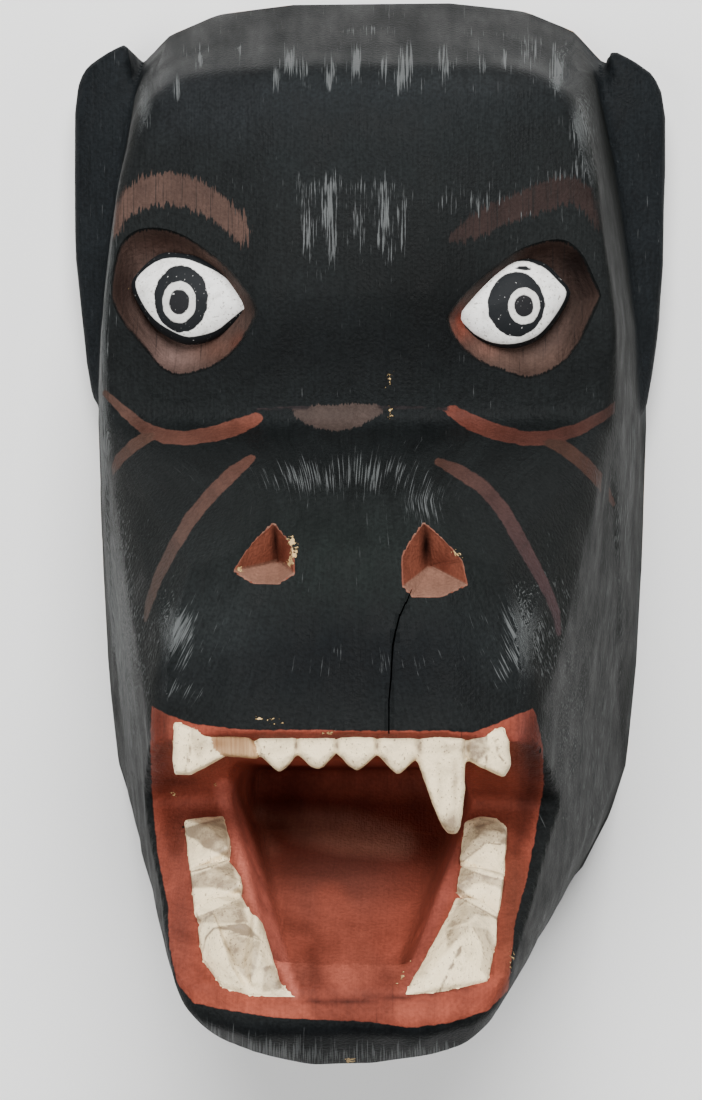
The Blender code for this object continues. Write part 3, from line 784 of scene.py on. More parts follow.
# Chips down to the pale wood: (across, down, half width, half height, turn in degrees)
chips = [
    (291, 541, 3.5, 6, -20), (294, 553, 3, 8, 12), (289, 562, 4, 4, 0), (239, 569, 4, 3, 30),
    (257, 719, 3, 1.5, 0), (275, 722, 7, 1.8, 4), (328, 733, 5, 1.6, 0), (350, 1061, 4, 2, 0),
    (390, 378, 1.3, 6, 20), (391, 414, 1.2, 5, -10), (456, 553, 4, 1.4, 30), (401, 980, 1.0, 8, 25),
    (214, 786, 2.2, 1.2, 0), (172, 795, 2.6, 1.2, 30), (468, 905, 1.6, 1.2, 0), (512, 955, 1.4, 6, 4),
    (128, 285, 2.2, 1.6, 0), (128, 293, 2.0, 1.4, 0), (366, 9, 16, 1.2, 0), (445, 14, 12, 1.2, 8),
]

eyePaint = {
    "white": {
        -1: [(134, 285), (139, 272), (159, 258), (182, 257), (200, 263), (220, 273), (237, 289), (245, 305),
             (235, 314), (217, 329), (197, 335), (182, 335), (159, 323), (144, 307)],
        1: [(451, 315), (452, 313), (474, 291), (493, 272), (512, 263), (530, 262), (545, 269), (558, 282),
            (566, 292), (562, 305), (550, 323), (536, 337), (515, 344), (493, 343), (474, 334), (463, 323)],
    },
    # middle and half sizes of the black iris, and of the white ring's outer edge
    "iris": {-1: (180.0, 297.7, 27.0, 33.5), 1: (516.0, 304.6, 28.2, 32.0)},
    "ring": {-1: (178.0, 300.8, 16.8, 21.0), 1: (524.0, 306.4, 15.8, 18.4)},
    "pupil": 0.6,                           # part of the ring's size
    "lidMark": (525.6, 268.2, 11.0, 2.6),   # a dark lens on the right eye's upper edge
}


# Stained places on the teeth, with painted shade on the incisors' lower bevels, the right molar's left face
# and the left mound's groove: (across, down, reach across, reach down, amount)
stainsAndShade = [
    (451, 824, 9, 12, 0.75), (455, 790, 3, 30, 0.35), (440, 790, 3, 25, 0.25), (212, 826, 14, 6, 0.30),
    (234, 845, 8, 10, 0.25), (221, 872, 12, 6, 0.25), (236, 932, 12, 6, 0.30), (232, 962, 7, 14, 0.22),
    (262, 965, 3, 16, 0.15), (275, 985, 14, 8, 0.30), (474, 838, 8, 6, 0.25), (463, 930, 9, 6, 0.45),
    (468, 748, 7, 9, 0.65), (480, 741, 4, 10, 0.30), (199, 745, 5, 12, 0.25), (216, 744, 8, 8, 0.60),
    (235, 742, 16, 8, 0.25), (296, 746, 2, 5, 0.80), (337, 746, 2, 5, 0.80), (377, 746, 2, 5, 0.80),
    (419, 748, 3, 7, 0.60), (280, 767, 12, 3, 0.35), (318, 765, 12, 3, 0.35), (357, 767, 12, 3, 0.35),
    (398, 769, 12, 3, 0.35), (273, 750, 16, 5, 0.20), (440, 748, 16, 6, 0.25),
]
# Painted shade, partly tan patina, on the cut faces of the lower and upper teeth that turn from the light:
# amount and outline
toothShadeAndPatina = [
    (0.50, [(469, 743), (478, 735), (486, 731), (487, 752), (478, 763), (469, 760)]),
    (0.30, [(192, 727), (207, 732), (207, 750), (198, 760), (191, 750)]),
    (0.30, [(258, 757), (276, 771), (296, 757), (294, 753), (277, 763), (261, 753)]),
    (0.30, [(300, 757), (318, 768), (334, 755), (332, 751), (317, 761), (301, 752)]),
    (0.30, [(340, 756), (357, 770), (375, 757), (372, 752), (357, 762), (342, 752)]),
    (0.30, [(380, 757), (398, 773), (417, 758), (414, 753), (398, 764), (383, 753)]),
    (0.71, [(184, 829), (222, 818), (227, 836), (229, 860), (203, 848), (193, 840), (184, 836)]),
    (0.63, [(189, 877), (231, 863), (235, 877), (241, 895), (211, 889), (190, 890)]),
    (0.50, [(194, 920), (242, 900), (248, 924), (228, 925), (196, 924)]),
    (0.84, [(216, 930), (230, 927), (245, 925), (259, 939), (247, 937), (229, 932)]),
    (0.46, [(228, 933), (250, 940), (260, 943), (257, 962), (251, 984), (241, 976), (229, 958), (222, 945)]),
    (0.55, [(263, 968), (273, 966), (283, 990), (262, 994)]),
    (0.46, [(468, 829), (482, 818), (501, 822), (508, 832), (507, 845), (497, 842), (486, 842), (478, 849),
            (458, 864), (463, 842)]),
    (0.50, [(462, 868), (504, 880), (505, 892), (496, 886), (484, 882), (474, 884), (463, 893), (455, 896)]),
    (0.42, [(459, 899), (499, 918), (486, 916), (475, 914), (469, 922), (455, 926), (446, 929)]),
    (0.50, [(446, 931), (464, 925), (470, 927), (456, 941), (448, 948)]),
    (0.38, [(472, 927), (480, 938), (484, 952), (480, 968), (488, 978), (495, 940), (488, 928)]),
]
toothMarks = [  # cut lines and the chipped ridge: (across, down, half width)
    [(191, 727, 0.3), (190, 745, 0.6), (184, 775, 0.4)],
    [(486, 731, 0.4), (488, 750, 0.6), (485, 768, 0.3)],
    [(495, 740, 0.3), (499, 756, 0.5), (506, 762, 0.3)],
    [(461, 946, 0.6), (458, 954, 2.0), (456, 957, 0.6)],
    [(455, 962, 0.4), (452, 966, 1.6), (449, 970, 0.8)],
    [(447, 975, 0.6), (443, 984, 1.2), (440, 991, 1.0)],
    [(456, 864, 0.5), (464, 860, 0.8), (478, 849, 1.0), (486, 842, 0.6), (500, 844, 0.3)],
    [(461, 867, 0.5), (485, 876, 0.6), (503, 880, 0.7)],
    [(459, 897, 0.4), (480, 908, 0.6), (497, 918, 0.9)],
    [(188, 874, 0.7), (210, 868, 0.4), (228, 861, 0.3)],
    [(194, 920, 0.5), (216, 911, 0.4), (240, 900, 0.3)],
    [(202, 953, 0.3), (205, 939, 0.6), (213, 930, 0.6), (228, 927, 0.5), (243, 926, 0.3)],
    [(226, 934, 0.3), (243, 936, 0.6), (260, 941, 0.4)],
    [(473, 927, 0.3), (482, 942, 0.5), (484, 955, 0.5)],
]


def linear(code):
    # an sRGB hex colour as the shader's linear one
    parts = [int(code[i:i + 2], 16) / 255 for i in (0, 2, 4)]
    return [p / 12.92 if p <= 0.04045 else ((p + 0.055) / 1.055) ** 2.4 for p in parts] + [1.0]


def strokeField(line):
    # how far each vertex is outside a stroke on the front view, along it and to its side
    edge = np.full(count, 999.0)
    along = np.zeros(count)
    side = np.zeros(count)
    run = 0.0
    for (x0, y0, w0), (x1, y1, w1) in zip(line, line[1:]):
        step = np.array([x1 - x0, y1 - y0], float)
        length = np.linalg.norm(step)
        offset = view - (x0, y0)
        share = np.clip(offset @ step / length ** 2, 0, 1)
        gap = offset - share[:, None] * step
        here = np.linalg.norm(gap, axis=1) - (w0 + (w1 - w0) * share)
        closer = here < edge
        edge[closer] = here[closer]
        along[closer] = (run + share * length)[closer]
        side[closer] = ((step[0] * offset[:, 1] - step[1] * offset[:, 0]) / length)[closer]
        run += length
    return edge, along, side


def outlineField(outline):
    # how far each vertex is outside a closed outline on the front view, negative inside it
    corners = np.array(outline, float)
    gap = np.full(count, 1e9)
    inside = np.zeros(count, bool)
    for a, b in zip(corners, np.roll(corners, -1, 0)):
        step = b - a
        offset = view - a
        share = np.clip(offset @ step / (step @ step), 0, 1)
        gap = np.minimum(gap, np.linalg.norm(offset - share[:, None] * step, axis=1))
        slope = step[0] / (step[1] or 1e-9)
        inside ^= ((a[1] > view[:, 1]) != (b[1] > view[:, 1])) & (offset[:, 0] < slope * offset[:, 1])
    return np.where(inside, -gap, gap)


def nearness(across, down, wide, tall):
    # 1 at a place on the front view, falling softly to its reach and beyond
    return np.exp(-((view[:, 0] - across) / wide) ** 2 - ((view[:, 1] - down) / tall) ** 2)


def mixed(tones, code, share):
    share = share.reshape(-1, 1)
    return tones * (1 - share) + np.array(linear(code)) * share


def washed(code, washes):
    # one colour with soft patches of others brushed into it
    tones = np.tile(linear(code), (count, 1))
    for *place, other, strength in washes:
        tones = mixed(tones, other, nearness(*place) * strength)
    return tones


def lay(field, tones, where, hairs=0.0, cover=1.0):
    # a coat goes on where it reaches further than the coats that are there
    wins = where & (field < coats["edge"])
    coats["edge"][wins] = field[wins]
    coats["tone"][wins] = tones[wins]
    coats["tone"][wins, 3] = cover
    coats["hairs"][wins] = hairs
    return wins


print("laying on the paint")
mesh = block.data
points = coordinates(mesh)
normals = coordinates(mesh, "normal")
count = len(points)
view = seen(points)
unit = (frontView["eye"][2] - points[:, 2]) / frontView["scale"]
above, below = planeHeights(points)
front = points[:, 2] > 30
coats = {
    "edge": np.full(count, 50.0),
    "tone": np.tile(linear(mouthPaint["colour"]), (count, 1)),
    "hairs": np.zeros(count),
    "brush": np.stack([points[:, 1], points[:, 0], np.zeros(count)], -1),
}
# the red stays off the outer sides of the jaw, which the front view doesn't see
toEye = np.array(frontView["eye"]) - points
turnedAway = (normals * toEye).sum(1) < mouthPaint["turned"] * np.linalg.norm(toEye, axis=1)
spread = points[:, :2] - mouthPaint["middle"]
outer = (normals[:, :2] * spread).sum(1) > mouthPaint["outward"] * np.linalg.norm(spread, axis=1)
inside = (points[:, 2] > mouthPaint["deepest"]) & ~(turnedAway & outer)
redTones = washed(mouthPaint["colour"], mouthPaint["washes"])
# the strokes lay painted light and shade into the red
for code, strength, softness, line in mouthPaint["slopes"]:
    share = strength * np.clip(0.5 - strokeField(line)[0] / softness, 0, 1)
    redTones = mixed(redTones, code, share)
lay(outlineField(mouthPaint["outline"]) * unit, redTones, inside)
lay(np.maximum(above - mouthPaint["above"], below + mouthPaint["below"]), redTones, inside)
inPits = np.zeros(count, bool)
for k in np.flatnonzero(points[:, 2] > nostrilPaint["deepest"]):
    inPits[k] = trees["pit"].find_nearest(points[k] / 1000, nostrilPaint["reach"])[0] is not None
for side in (-1, 1):
    tones = washed(socketPaint["colour"], socketPaint["washes"])
    rim = outlineField(smoothLoop(eyes["socket"][side], 3)) * unit
    lay(rim - socketPaint["over"], tones, front, socketPaint["hairs"], socketPaint["cover"])
    # faces turning up take the pale colour as painted light, the rest the deep red with painted shade in the
    # pits
    litFacing = normals[:, 1:2] > nostrilPaint["litFacetFrom"]
    deep = washed(nostrilPaint["deep"], nostrilPaint["washes"])
    tones = np.where(litFacing, linear(nostrilPaint["pale"]), deep)
    lay(outlineField(nostrils[side]["rim"]) * unit, tones, points[:, 2] > nostrilPaint["above"])
    lay(np.full(count, -1.0), tones, inPits & (points[:, 0] * side > 0))
for stroke in strokes.values():
    edge, along, across = strokeField(stroke["line"])
    share = np.clip(along / along.max(), 0, 1) ** 0.7
    tones = mixed(np.array(linear(stroke["colour"])), stroke.get("end", stroke["colour"]), share)
    hairs = stroke.get("hairs", 0.0)
    wins = lay(edge * unit, tones, front, hairs, stroke.get("cover", 0.93))
    if not hairs:
        coats["brush"][wins] = np.stack([along * unit, across * unit, np.zeros(count)], -1)[wins]

ground = washed(groundPaint["colour"], groundPaint["washes"])
# faces turned to the side are mixed toward the darker sides colour: painted shade
fade = groundPaint["paintedSideShade"]
sideShadeShare = np.clip((np.abs(normals[:, 0]) - fade["from"]) / fade["over"], 0, 1) * fade["amount"]
ground = mixed(ground, groundPaint["sides"], sideShadeShare * (points[:, 2] < fade["below"]))
limits = groundPaint["earsAre"]
onEar = (points[:, 2] < limits["below"]) & (points[:, 1] > limits["above"])
onEar &= np.abs(points[:, 0]) > limits["outside"]
ground[onEar] = linear(groundPaint["ears"])
# the grey amount: rubbed hairs, and down the left side grey painted light
grey = groundPaint["hairs"] + sum(amount * nearness(*place) for *place, amount in greyHairsAndLitSide)
grey = np.where(front, np.clip(grey, 0, 1), groundPaint["hairsBehind"])
chipEdge = np.full(count, 9.0)
for across, down, wide, tall, turn in chips:
    c, s = math.cos(math.radians(turn)), math.sin(math.radians(turn))
    offset = view - (across, down)
    reach = np.hypot((offset @ (c, s)) / wide, (offset @ (-s, c)) / tall)
    chipEdge = np.where(front, np.minimum(chipEdge, (reach - 1) * min(wide, tall) * unit), chipEdge)
whiteEdge = np.full(count, 9.0)
maps = {"iris": np.zeros((count, 3)), "ring": np.zeros((count, 3))}
for side in (-1, 1):
    here = (view[:, 0] - frontView["middle"][0]) * side > 0
    field = outlineField(smoothLoop(eyePaint["white"][side], 3))
    if side > 0:
        across, down, wide, tall = eyePaint["lidMark"]
        lens = 1 - np.hypot((view[:, 0] - across) / wide, (view[:, 1] - down) / tall)
        field = np.maximum(field, lens * tall)
    whiteEdge[here] = (field * unit)[here]
    for name, made in maps.items():
        across, down, wide, tall = eyePaint[name][side]
        made[here, :2] = ((view - (across, down)) / (wide, tall))[here]
turned = np.clip((np.abs(normals[:, 0]) - hairRun["sideFrom"]) / hairRun["sideOver"], 0, 1)
fan = np.clip((view[:, 0] - hairRun["middle"]) / hairRun["reach"], -1, 1) * (points[:, 2] > hairRun["above"])
fan *= np.clip((view[:, 1] - hairRun["from"]) / hairRun["fade"], 0, 1)
fan *= np.clip((hairRun["to"] - view[:, 1]) / hairRun["fade"], 0, 1)
across = view[:, 0] - hairRun["fan"] * fan * (view[:, 1] - hairRun["point"])
sheet = np.stack([across, view[:, 1]], -1) * frontView["mmPerUnit"]
# stains on the teeth, and painted shade on their faces that turn from the light
stainAndShade = sum(amount * nearness(*place) for *place, amount in stainsAndShade)
for amount, outline in toothShadeAndPatina:
    stainAndShade = np.maximum(stainAndShade, amount * np.clip(0.5 - outlineField(outline) / 2.4, 0, 1))
for line in toothMarks:
    stainAndShade = np.maximum(stainAndShade, 0.8 * np.clip(0.6 - strokeField(line)[0] / 1.2, 0, 1))

stored = {
    "sheet": np.column_stack([sheet, points[:, 2] * turned]),
    "ground": ground, "grey": grey,
    "coatTone": coats["tone"], "coatEdge": coats["edge"], "coatHairs": coats["hairs"],
    "brush": coats["brush"],
    "chipEdge": chipEdge, "stainAndShade": np.clip(stainAndShade, 0, 1),
    "whiteEdge": whiteEdge, "irisMap": maps["iris"], "ringMap": maps["ring"],
}
kinds = {1: ("FLOAT", "value"), 3: ("FLOAT_VECTOR", "vector"), 4: ("FLOAT_COLOR", "color")}
for name, values in stored.items():
    values = np.asarray(values, np.float32)
    kind, field = kinds[values.size // count]
    mesh.attributes.new(name, kind, "POINT").data.foreach_set(field, values.ravel())


def fill(tree, node, inputs):
    # a value or a link for each of these inputs of a node, by name or in their order
    for name, value in (inputs.items() if isinstance(inputs, dict) else enumerate(inputs)):
        if isinstance(value, bpy.types.NodeSocket):
            tree.links.new(value, node.inputs[name])
        else:
            node.inputs[name].default_value = value


def addNode(tree, kind, inputs=(), give=0, **settings):
    # one node with its settings and links, of which this hands back the output that is wanted
    made = tree.nodes.new("ShaderNode" + kind)
    for name, value in settings.items():
        setattr(made, name, value)
    fill(tree, made, inputs)
    return made.outputs[give]


def newMaterial(name, inputs):
    made = bpy.data.materials.new(name)
    made.use_nodes = True
    shader = made.node_tree.nodes["Principled BSDF"]
    fill(made.node_tree, shader, inputs)
    return made, made.node_tree, shader


paintLook = {
    # noise cells per mm: wood grain 0.8 by 16 mm, hairs 0.6 by 12 mm, slow patches of 12 mm
    "grain": (1.2, 0.06, 1.2),
    "hairs": (1.7, 0.08, 1.7),
    "patches": (0.09, 0.06, 0.09),
    "brushLines": (0.05, 1.6, 1.0),
    # noise cells per metre: the rough skin of the paint, and how the edges of its coats wander
    "tooth": 950.0,
    "wander": 420.0,
    # what a noise from one value to another turns into: lighter and darker, or more and less dull
    "grainShade": (0.3, 0.7, 0.84, 1.16),
    "patchShade": (0.3, 0.7, 0.75, 1.25),
    "toothShade": (0.35, 0.65, 0.80, 1.24),
    "coatShade": (0.3, 0.7, 0.94, 1.06),
    "coatTooth": (0.8, 1.24, 0.9, 1.1),
    "roughness": (0.3, 0.7, 0.52, 0.74),
    # how much shows of a coat and of a chip, from one side of its edge to the other, in mm
    "coatEdge": (0.60, 0.30, 0.0, 1.0),
    "coatThin": (0.80, 0.94, 0.35, 1.0),
    "chipEdge": (1.66, 1.42, 0.0, 1.0),
    # the grey of the hairs, also laid down the left side as painted light
    "greyAndLitSide": "787B7B",
    "hairStart": (0.30, -0.70),
    "hairPatch": (0.9, -0.45, 0.25),
    "hairContrast": 11.0,
    "hairCover": 0.42,
    "stray": 2.6,
    "wanderBy": 0.9,
    "coverBy": 0.62,
    "chip": "C4A573",
    "chipRagged": 3.4,
    # relief: brush lines, grain and chips against the skin, then all of it in metres
    "relief": (0.3, 0.4, -1.0),
    "bump": 0.00038,
}


def brushedHousePaint():
    # Flat house paint brushed by hand over carved wood: a slate black that the grain and the brush lines
    # break up, rubbed grey hairs on the high places, grey painted light down the left side, and a very dull
    # sheen.
    made, tree, shader = newMaterial("brushedHousePaint", {"IOR": 1.48, "Specular IOR Level": 0.07})
    look = paintLook
    place = addNode(tree, "TexCoord", give="Object")
    cover = addNode(tree, "Attribute", give="Alpha", attribute_name="coatTone")
    kept = {}
    for name, give in (("sheet", "Vector"), ("brush", "Vector"), ("ground", "Color"), ("coatTone", "Color"),
                       ("coatEdge", "Fac"), ("coatHairs", "Fac"), ("grey", "Fac"), ("chipEdge", "Fac")):
        kept[name] = addNode(tree, "Attribute", give=give, attribute_name=name)
    spots = {}
    for name in ("grain", "hairs", "patches"):
        scaled = addNode(tree, "Mapping", {"Vector": kept["sheet"], "Scale": look[name]})
        spots[name] = addNode(tree, "TexNoise", {"Vector": scaled, "Scale": 1.0, "Detail": 3.0,
                                                 "Roughness": 0.6})
    skin = addNode(tree, "TexNoise", {"Vector": place, "Scale": look["tooth"], "Detail": 2.0})
    wander = addNode(tree, "TexNoise", {"Vector": place, "Scale": look["wander"], "Detail": 2.0})
    lined = addNode(tree, "Mapping", {"Vector": kept["brush"], "Scale": look["brushLines"]})
    brushLines = addNode(tree, "TexNoise", {"Vector": lined, "Scale": 1.0, "Detail": 3.0})
    # the black ground, lighter and darker along the grain and from patch to patch
    shade = addNode(tree, "MapRange", [spots["grain"], *look["grainShade"]])
    slow = addNode(tree, "MapRange", [spots["patches"], *look["patchShade"]])
    rough = addNode(tree, "MapRange", [skin, *look["toothShade"]])
    shade = addNode(tree, "Math", [shade, slow], operation="MULTIPLY")
    shade = addNode(tree, "Math", [shade, rough], operation="MULTIPLY")
    black = addNode(tree, "VectorMath", {0: kept["ground"], "Scale": shade}, operation="SCALE")
    # grey hairs where the dry brush went, and grey painted light down the left side
    patchMore, patchLess, patchShare = look["hairPatch"]
    patchy = addNode(tree, "Math", [spots["patches"], patchMore, patchLess], operation="MULTIPLY_ADD")
    wanted = addNode(tree, "Math", [kept["grey"], *look["hairStart"]], operation="MULTIPLY_ADD")
    wanted = addNode(tree, "Math", [wanted, spots["hairs"]], operation="ADD")
    wanted = addNode(tree, "Math", [patchy, patchShare, wanted], operation="MULTIPLY_ADD")
    hairAndLitSideMask = addNode(tree, "Math", [wanted, look["hairContrast"]], operation="MULTIPLY", use_clamp=True)
    hairAndLitSideMask = addNode(tree, "Math", [hairAndLitSideMask, look["hairCover"]], operation="MULTIPLY")
    blackWithGreyAndLight = addNode(tree, "Mix", {0: hairAndLitSideMask, 6: black, 7: linear(look["greyAndLitSide"])}, 2, data_type="RGBA")
    # the coats on top: mouth, sockets, nostrils, brows and strokes
    stray = addNode(tree, "Math", [spots["hairs"], -0.5], operation="ADD")
    stray = addNode(tree, "Math", [stray, look["stray"]], operation="MULTIPLY")
    edge = addNode(tree, "Math", [stray, kept["coatHairs"], kept["coatEdge"]], operation="MULTIPLY_ADD")
    edge = addNode(tree, "Math", [wander, look["wanderBy"], edge], operation="MULTIPLY_ADD")
    coatMask = addNode(tree, "MapRange", [edge, *look["coatEdge"]])
    thin = addNode(tree, "Math", [cover, look["coverBy"], brushLines], operation="MULTIPLY_ADD")
    thin = addNode(tree, "MapRange", [thin, *look["coatThin"]])
    coatMask = addNode(tree, "Math", [coatMask, thin], operation="MULTIPLY")
    streak = addNode(tree, "MapRange", [brushLines, *look["coatShade"]])
    streak = addNode(tree, "Math", [streak, slow], operation="MULTIPLY")
    finer = addNode(tree, "MapRange", [rough, *look["coatTooth"]])
    streak = addNode(tree, "Math", [streak, finer], operation="MULTIPLY")
    tone = addNode(tree, "VectorMath", {0: kept["coatTone"], "Scale": streak}, operation="SCALE")
    coated = addNode(tree, "Mix", {0: coatMask, 6: blackWithGreyAndLight, 7: tone}, 2, data_type="RGBA")
    # chips show the pale wood
    ragged = addNode(tree, "Math", [skin, look["chipRagged"], kept["chipEdge"]], operation="MULTIPLY_ADD")
    chipMask = addNode(tree, "MapRange", [ragged, *look["chipEdge"]])
    final = addNode(tree, "Mix", {0: chipMask, 6: coated, 7: linear(look["chip"])}, 2, data_type="RGBA")
    dull = addNode(tree, "MapRange", [spots["patches"], *look["roughness"]])
    height = skin
    for source, amount in zip((brushLines, spots["grain"], chipMask), look["relief"]):
        height = addNode(tree, "Math", [source, amount, height], operation="MULTIPLY_ADD")
    bump = addNode(tree, "Bump", {"Height": height, "Distance": look["bump"], "Strength": 0.8})
    fill(tree, shader, {"Base Color": final, "Roughness": dull, "Normal": bump})
    return made


toothLook = {
    "cream": "F6E1B6",
    # the colour of the stains and of the painted shade
    "stainAndShade": "8A7860",
    "blotches": 160.0,               # noise cells per metre
    "pores": (1500, 900, 900),       # brush pores, about 0.7 mm
    # the noise from and to which stain and pores show, and how much
    "blotchShows": (0.52, 0.76, 0.0, 0.5),
    "poreShows": (0.62, 0.70, 0.0, 0.8),
    "stainBy": 2.7,
}


def creamToothPaint():
    # Cream gloss paint thickly brushed on carved teeth: warm white, with stains and painted shade in the
    # hollows and on faces turned from the light, pores where the brush left air, and a soft gloss.
    made, tree, shader = newMaterial("creamToothPaint", {"IOR": 1.5, "Roughness": 0.5,
                                                         "Specular IOR Level": 0.35})
    look = toothLook
    place = addNode(tree, "TexCoord", give="Object")
    blotches = addNode(tree, "TexNoise", {"Vector": place, "Scale": look["blotches"], "Detail": 4.0,
                                          "Roughness": 0.65})
    scaled = addNode(tree, "Mapping", {"Vector": place, "Scale": look["pores"]})
    pores = addNode(tree, "TexNoise", {"Vector": scaled, "Scale": 1.0, "Detail": 2.0})
    amount = addNode(tree, "MapRange", [blotches, *look["blotchShows"]])
    speck = addNode(tree, "MapRange", [pores, *look["poreShows"]])
    amount = addNode(tree, "Math", [amount, speck], operation="MAXIMUM")
    stainAndShade = addNode(tree, "Attribute", give="Fac", attribute_name="stainAndShade")
    stainAndShade = addNode(tree, "Math", [stainAndShade, blotches], operation="MULTIPLY")
    amount = addNode(tree, "Math", [stainAndShade, look["stainBy"], amount], operation="MULTIPLY_ADD", use_clamp=True)
    final = addNode(tree, "Mix", {0: amount, 6: linear(look["cream"]), 7: linear(look["stainAndShade"])}, 2,
                    data_type="RGBA")
    height = addNode(tree, "Math", [blotches, 2.0, pores], operation="MULTIPLY_ADD")
    bump = addNode(tree, "Bump", {"Height": height, "Distance": 0.0004, "Strength": 0.7})
    fill(tree, shader, {"Base Color": final, "Normal": bump})
    return made


eyeLook = {
    "white": "EDECE8",
    "smudge": "8F8B82",
    "black": "191B1D",
    "pupil": "1B1B1D",
    "smudges": 260.0,                # noise cells per metre, here and in the next two
    "grit": 1100.0,
    "wander": 330.0,
    "wanderBy": (0.15, 0.15, 0.0),   # part of a ring's size
    # the noise from and to which smudges, grit and pale flecks in the black show, and how much
    "smudgeShows": (0.48, 0.74, 0.0, 0.5),
    "gritShows": (0.60, 0.69, 0.0, 0.8),
    "fleckShows": (0.31, 0.26, 0.0, 0.55),
    "ringWear": 0.8,
}


def brushedEyePaint():
    # White and black gloss paint on the carved eyeballs: clean rings with a hand's small wobble,
    # thin grey smudges on the white, and more gloss than the face.
    made, tree, shader = newMaterial("brushedEyePaint", {"IOR": 1.5, "Roughness": 0.6,
                                                         "Specular IOR Level": 0.1})
    look = eyeLook
    place = addNode(tree, "TexCoord", give="Object")
    smudges = addNode(tree, "TexNoise", {"Vector": place, "Scale": look["smudges"], "Detail": 4.0,
                                         "Roughness": 0.7})
    grit = addNode(tree, "TexNoise", {"Vector": place, "Scale": look["grit"], "Detail": 2.0})
    wander = addNode(tree, "TexNoise", {"Vector": place, "Scale": look["wander"], "Detail": 4.0}, "Color")
    wander = addNode(tree, "VectorMath", [wander, (-0.5, -0.5, -0.5)], operation="ADD")
    wander = addNode(tree, "VectorMath", [wander, look["wanderBy"]], operation="MULTIPLY")
    reach = {}
    for name in ("irisMap", "ringMap"):
        spot = addNode(tree, "Attribute", give="Vector", attribute_name=name)
        spot = addNode(tree, "VectorMath", [spot, wander], operation="ADD")
        spot = addNode(tree, "VectorMath", [spot, (1.0, 1.0, 0.0)], operation="MULTIPLY")
        reach[name] = addNode(tree, "VectorMath", [spot], "Value", operation="LENGTH")
    whiteEdge = addNode(tree, "Attribute", give="Fac", attribute_name="whiteEdge")
    pupil = eyePaint["pupil"]
    edges = [
        (whiteEdge, 0.10, -0.12), (reach["irisMap"], 0.99, 1.02),
        (reach["ringMap"], 1.02, 0.97), (reach["ringMap"], pupil - 0.02, pupil + 0.04),
    ]
    inWhite, outIris, inRing, outPupil = (addNode(tree, "MapRange", edge) for edge in edges)
    ring = addNode(tree, "Math", [inRing, outPupil], operation="MULTIPLY")
    white = addNode(tree, "Math", [inWhite, outIris], operation="MULTIPLY")
    white = addNode(tree, "Math", [white, ring], operation="MAXIMUM")
    amount = addNode(tree, "MapRange", [smudges, *look["smudgeShows"]])
    worn = addNode(tree, "Math", [ring, smudges], operation="MULTIPLY")
    worn = addNode(tree, "Math", [worn, look["ringWear"]], operation="MULTIPLY")
    for other in (addNode(tree, "MapRange", [grit, *look["gritShows"]]), worn):
        amount = addNode(tree, "Math", [amount, other], operation="MAXIMUM")
    fleck = addNode(tree, "MapRange", [grit, *look["fleckShows"]])
    codes = {name: linear(look[name]) for name in ("white", "smudge", "black", "pupil")}
    bright = addNode(tree, "Mix", {0: amount, 6: codes["white"], 7: codes["smudge"]}, 2, data_type="RGBA")
    dark = addNode(tree, "Mix", {0: outPupil, 6: codes["pupil"], 7: codes["black"]}, 2, data_type="RGBA")
    dark = addNode(tree, "Mix", {0: fleck, 6: dark, 7: codes["white"]}, 2, data_type="RGBA")
    final = addNode(tree, "Mix", {0: white, 6: dark, 7: bright}, 2, data_type="RGBA")
    height = addNode(tree, "Math", [white, 0.5, smudges], operation="MULTIPLY_ADD")
    bump = addNode(tree, "Bump", {"Height": height, "Distance": 0.0003, "Strength": 0.6})
    fill(tree, shader, {"Base Color": final, "Normal": bump})
    return made


woodLook = {
    "light": "BC9870",
    "dark": "7F5B3D",
    "rings": (95, 7, 130),           # growth rings about 9 mm apart
    "fibres": (1500, 40, 1500),      # about 0.7 mm wide
    "ringsBy": 1.3,
    "darkFrom": (0.85, 1.65),
}


def bareCarvedWood():
    # Soft straight grained wood straight from the gouge and never painted: tan, with darker rings
    # and fine fibres down its length, and no gloss.
    made, tree, shader = newMaterial("bareCarvedWood", {"IOR": 1.46, "Roughness": 0.8,
                                                        "Specular IOR Level": 0.25})
    place = addNode(tree, "TexCoord", give="Object")
    grain = []
    for name in ("rings", "fibres"):
        scaled = addNode(tree, "Mapping", {"Vector": place, "Scale": woodLook[name]})
        grain.append(addNode(tree, "TexNoise", {"Vector": scaled, "Scale": 1.0, "Detail": 3.0}))
    rings, fibres = grain
    amount = addNode(tree, "Math", [rings, woodLook["ringsBy"], fibres], operation="MULTIPLY_ADD")
    stainAndShade = addNode(tree, "Attribute", give="Fac", attribute_name="stainAndShade")
    amount = addNode(tree, "Math", [amount, stainAndShade], operation="ADD")
    amount = addNode(tree, "MapRange", [amount, *woodLook["darkFrom"]])
    final = addNode(tree, "Mix", {0: amount, 6: linear(woodLook["light"]), 7: linear(woodLook["dark"])}, 2,
                    data_type="RGBA")
    bump = addNode(tree, "Bump", {"Height": fibres, "Distance": 0.0003, "Strength": 0.8})
    fill(tree, shader, {"Base Color": final, "Normal": bump})
    return made


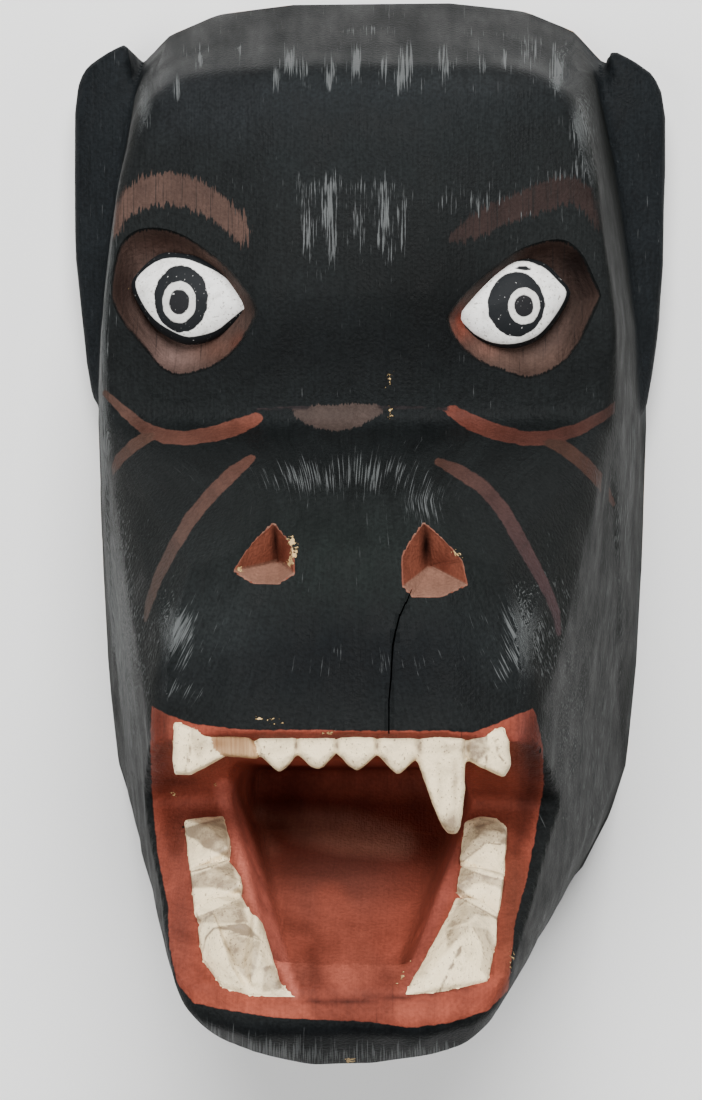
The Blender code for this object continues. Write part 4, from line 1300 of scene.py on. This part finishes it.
print("choosing each face's paint")
mesh.materials.clear()
for made in (brushedHousePaint(), creamToothPaint(), brushedEyePaint(), bareCarvedWood()):
    mesh.materials.append(made)
slots = {"head": 0, "tooth": 1, "eye": 2, "wood": 3}
slotRules = {
    "reach": 0.00012,               # metres from a piece, for a face that came from it
    "back": 0.062, "rimPlane": 0.0004,      # metres: the height of the back, and of its flat rim
    "within": 12,                   # mm inside the rim, from where faces that turn in are the hollow's
    "outward": 0.15, "upward": 0.35,
}
chosen = np.full(len(mesh.polygons), slots["head"], np.int32)
ring = np.array([p[:2] for p in rimRing(0)])
for face in mesh.polygons:
    centre = face.center
    if centre.z < slotRules["back"]:
        spot = Vector(centre.xy) * 1000
        outward = face.normal.xy.dot(spot) / (spot.length + 1e-6)
        near = ring[np.argmax(ring @ np.array(spot))]           # the rim's corner on that side
        hollow = np.linalg.norm(near) - spot.length > slotRules["within"]
        hollow &= outward < slotRules["outward"] and face.normal.z < slotRules["upward"]
        if hollow or centre.z < slotRules["rimPlane"]:
            chosen[face.index] = slots["wood"]
    elif trees["eye"].find_nearest(centre, slotRules["reach"])[0] is not None:
        chosen[face.index] = slots["eye"]
    elif trees["carved"].find_nearest(centre, slotRules["reach"])[0] is not None:
        fromWood = trees["wood"].find_nearest(centre)[3]
        bare = fromWood < trees["tooth"].find_nearest(centre)[3]
        chosen[face.index] = slots["wood" if bare else "tooth"]
mesh.polygons.foreach_set("material_index", chosen)
mesh.shade_smooth()
mesh.set_sharp_from_angle(angle=math.radians(38))


studio = {
    "floor": 3.0,
    "floorColour": "F8F8F7",
    "lamps": [
        ("keyLight", (0.08, 0.80, 1.35), 44.0, 0.9),
        ("fillLight", (-0.8, -0.3, 1.2), 15.0, 1.1),
        ("rimLight", (0.9, -0.3, 1.0), 8.0, 1.0),
    ],
}

print("studio")
for name, place, power, size in studio["lamps"]:
    light = bpy.data.lights.new(name, "AREA")
    light.shape = "DISK"
    light.size = size
    light.energy = power
    lamp = bpy.data.objects.new(name, light)
    lamp.location = place
    lamp.rotation_euler = (Vector((0, 0, 0.1)) - Vector(place)).to_track_quat("-Z", "Y").to_euler()
    bpy.context.scene.collection.objects.link(lamp)

camera = bpy.data.cameras.new("camera")
camera.sensor_width = 36.0
camera.lens = frontView["scale"] / frontView["tall"] * camera.sensor_width
viewer = bpy.data.objects.new("camera", camera)
viewer.location = Vector(frontView["eye"]) / 1000
viewer.rotation_euler = (0, math.atan(frontView["lean"]), 0)
bpy.context.scene.collection.objects.link(viewer)
bpy.context.scene.camera = viewer

sheet = bmesh.new()
bmesh.ops.create_grid(sheet, x_segments=1, y_segments=1, size=studio["floor"])
floor = meshObject("floor", sheet, 1.0)


def paperSweep():
    # a matt paper sweep: even and pale, with a faint tooth that keeps it from looking printed
    white = linear(studio["floorColour"])
    made, tree, shader = newMaterial("paperSweep", {"Roughness": 0.9, "Base Color": white})
    place = addNode(tree, "TexCoord", give="Object")
    tooth = addNode(tree, "TexNoise", {"Vector": place, "Scale": 900.0, "Detail": 2.0})
    bump = addNode(tree, "Bump", {"Height": tooth, "Distance": 0.0001, "Strength": 0.3})
    fill(tree, shader, {"Normal": bump})
    return made


floor.data.materials.append(paperSweep())

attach(block, "root")
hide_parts("mask")
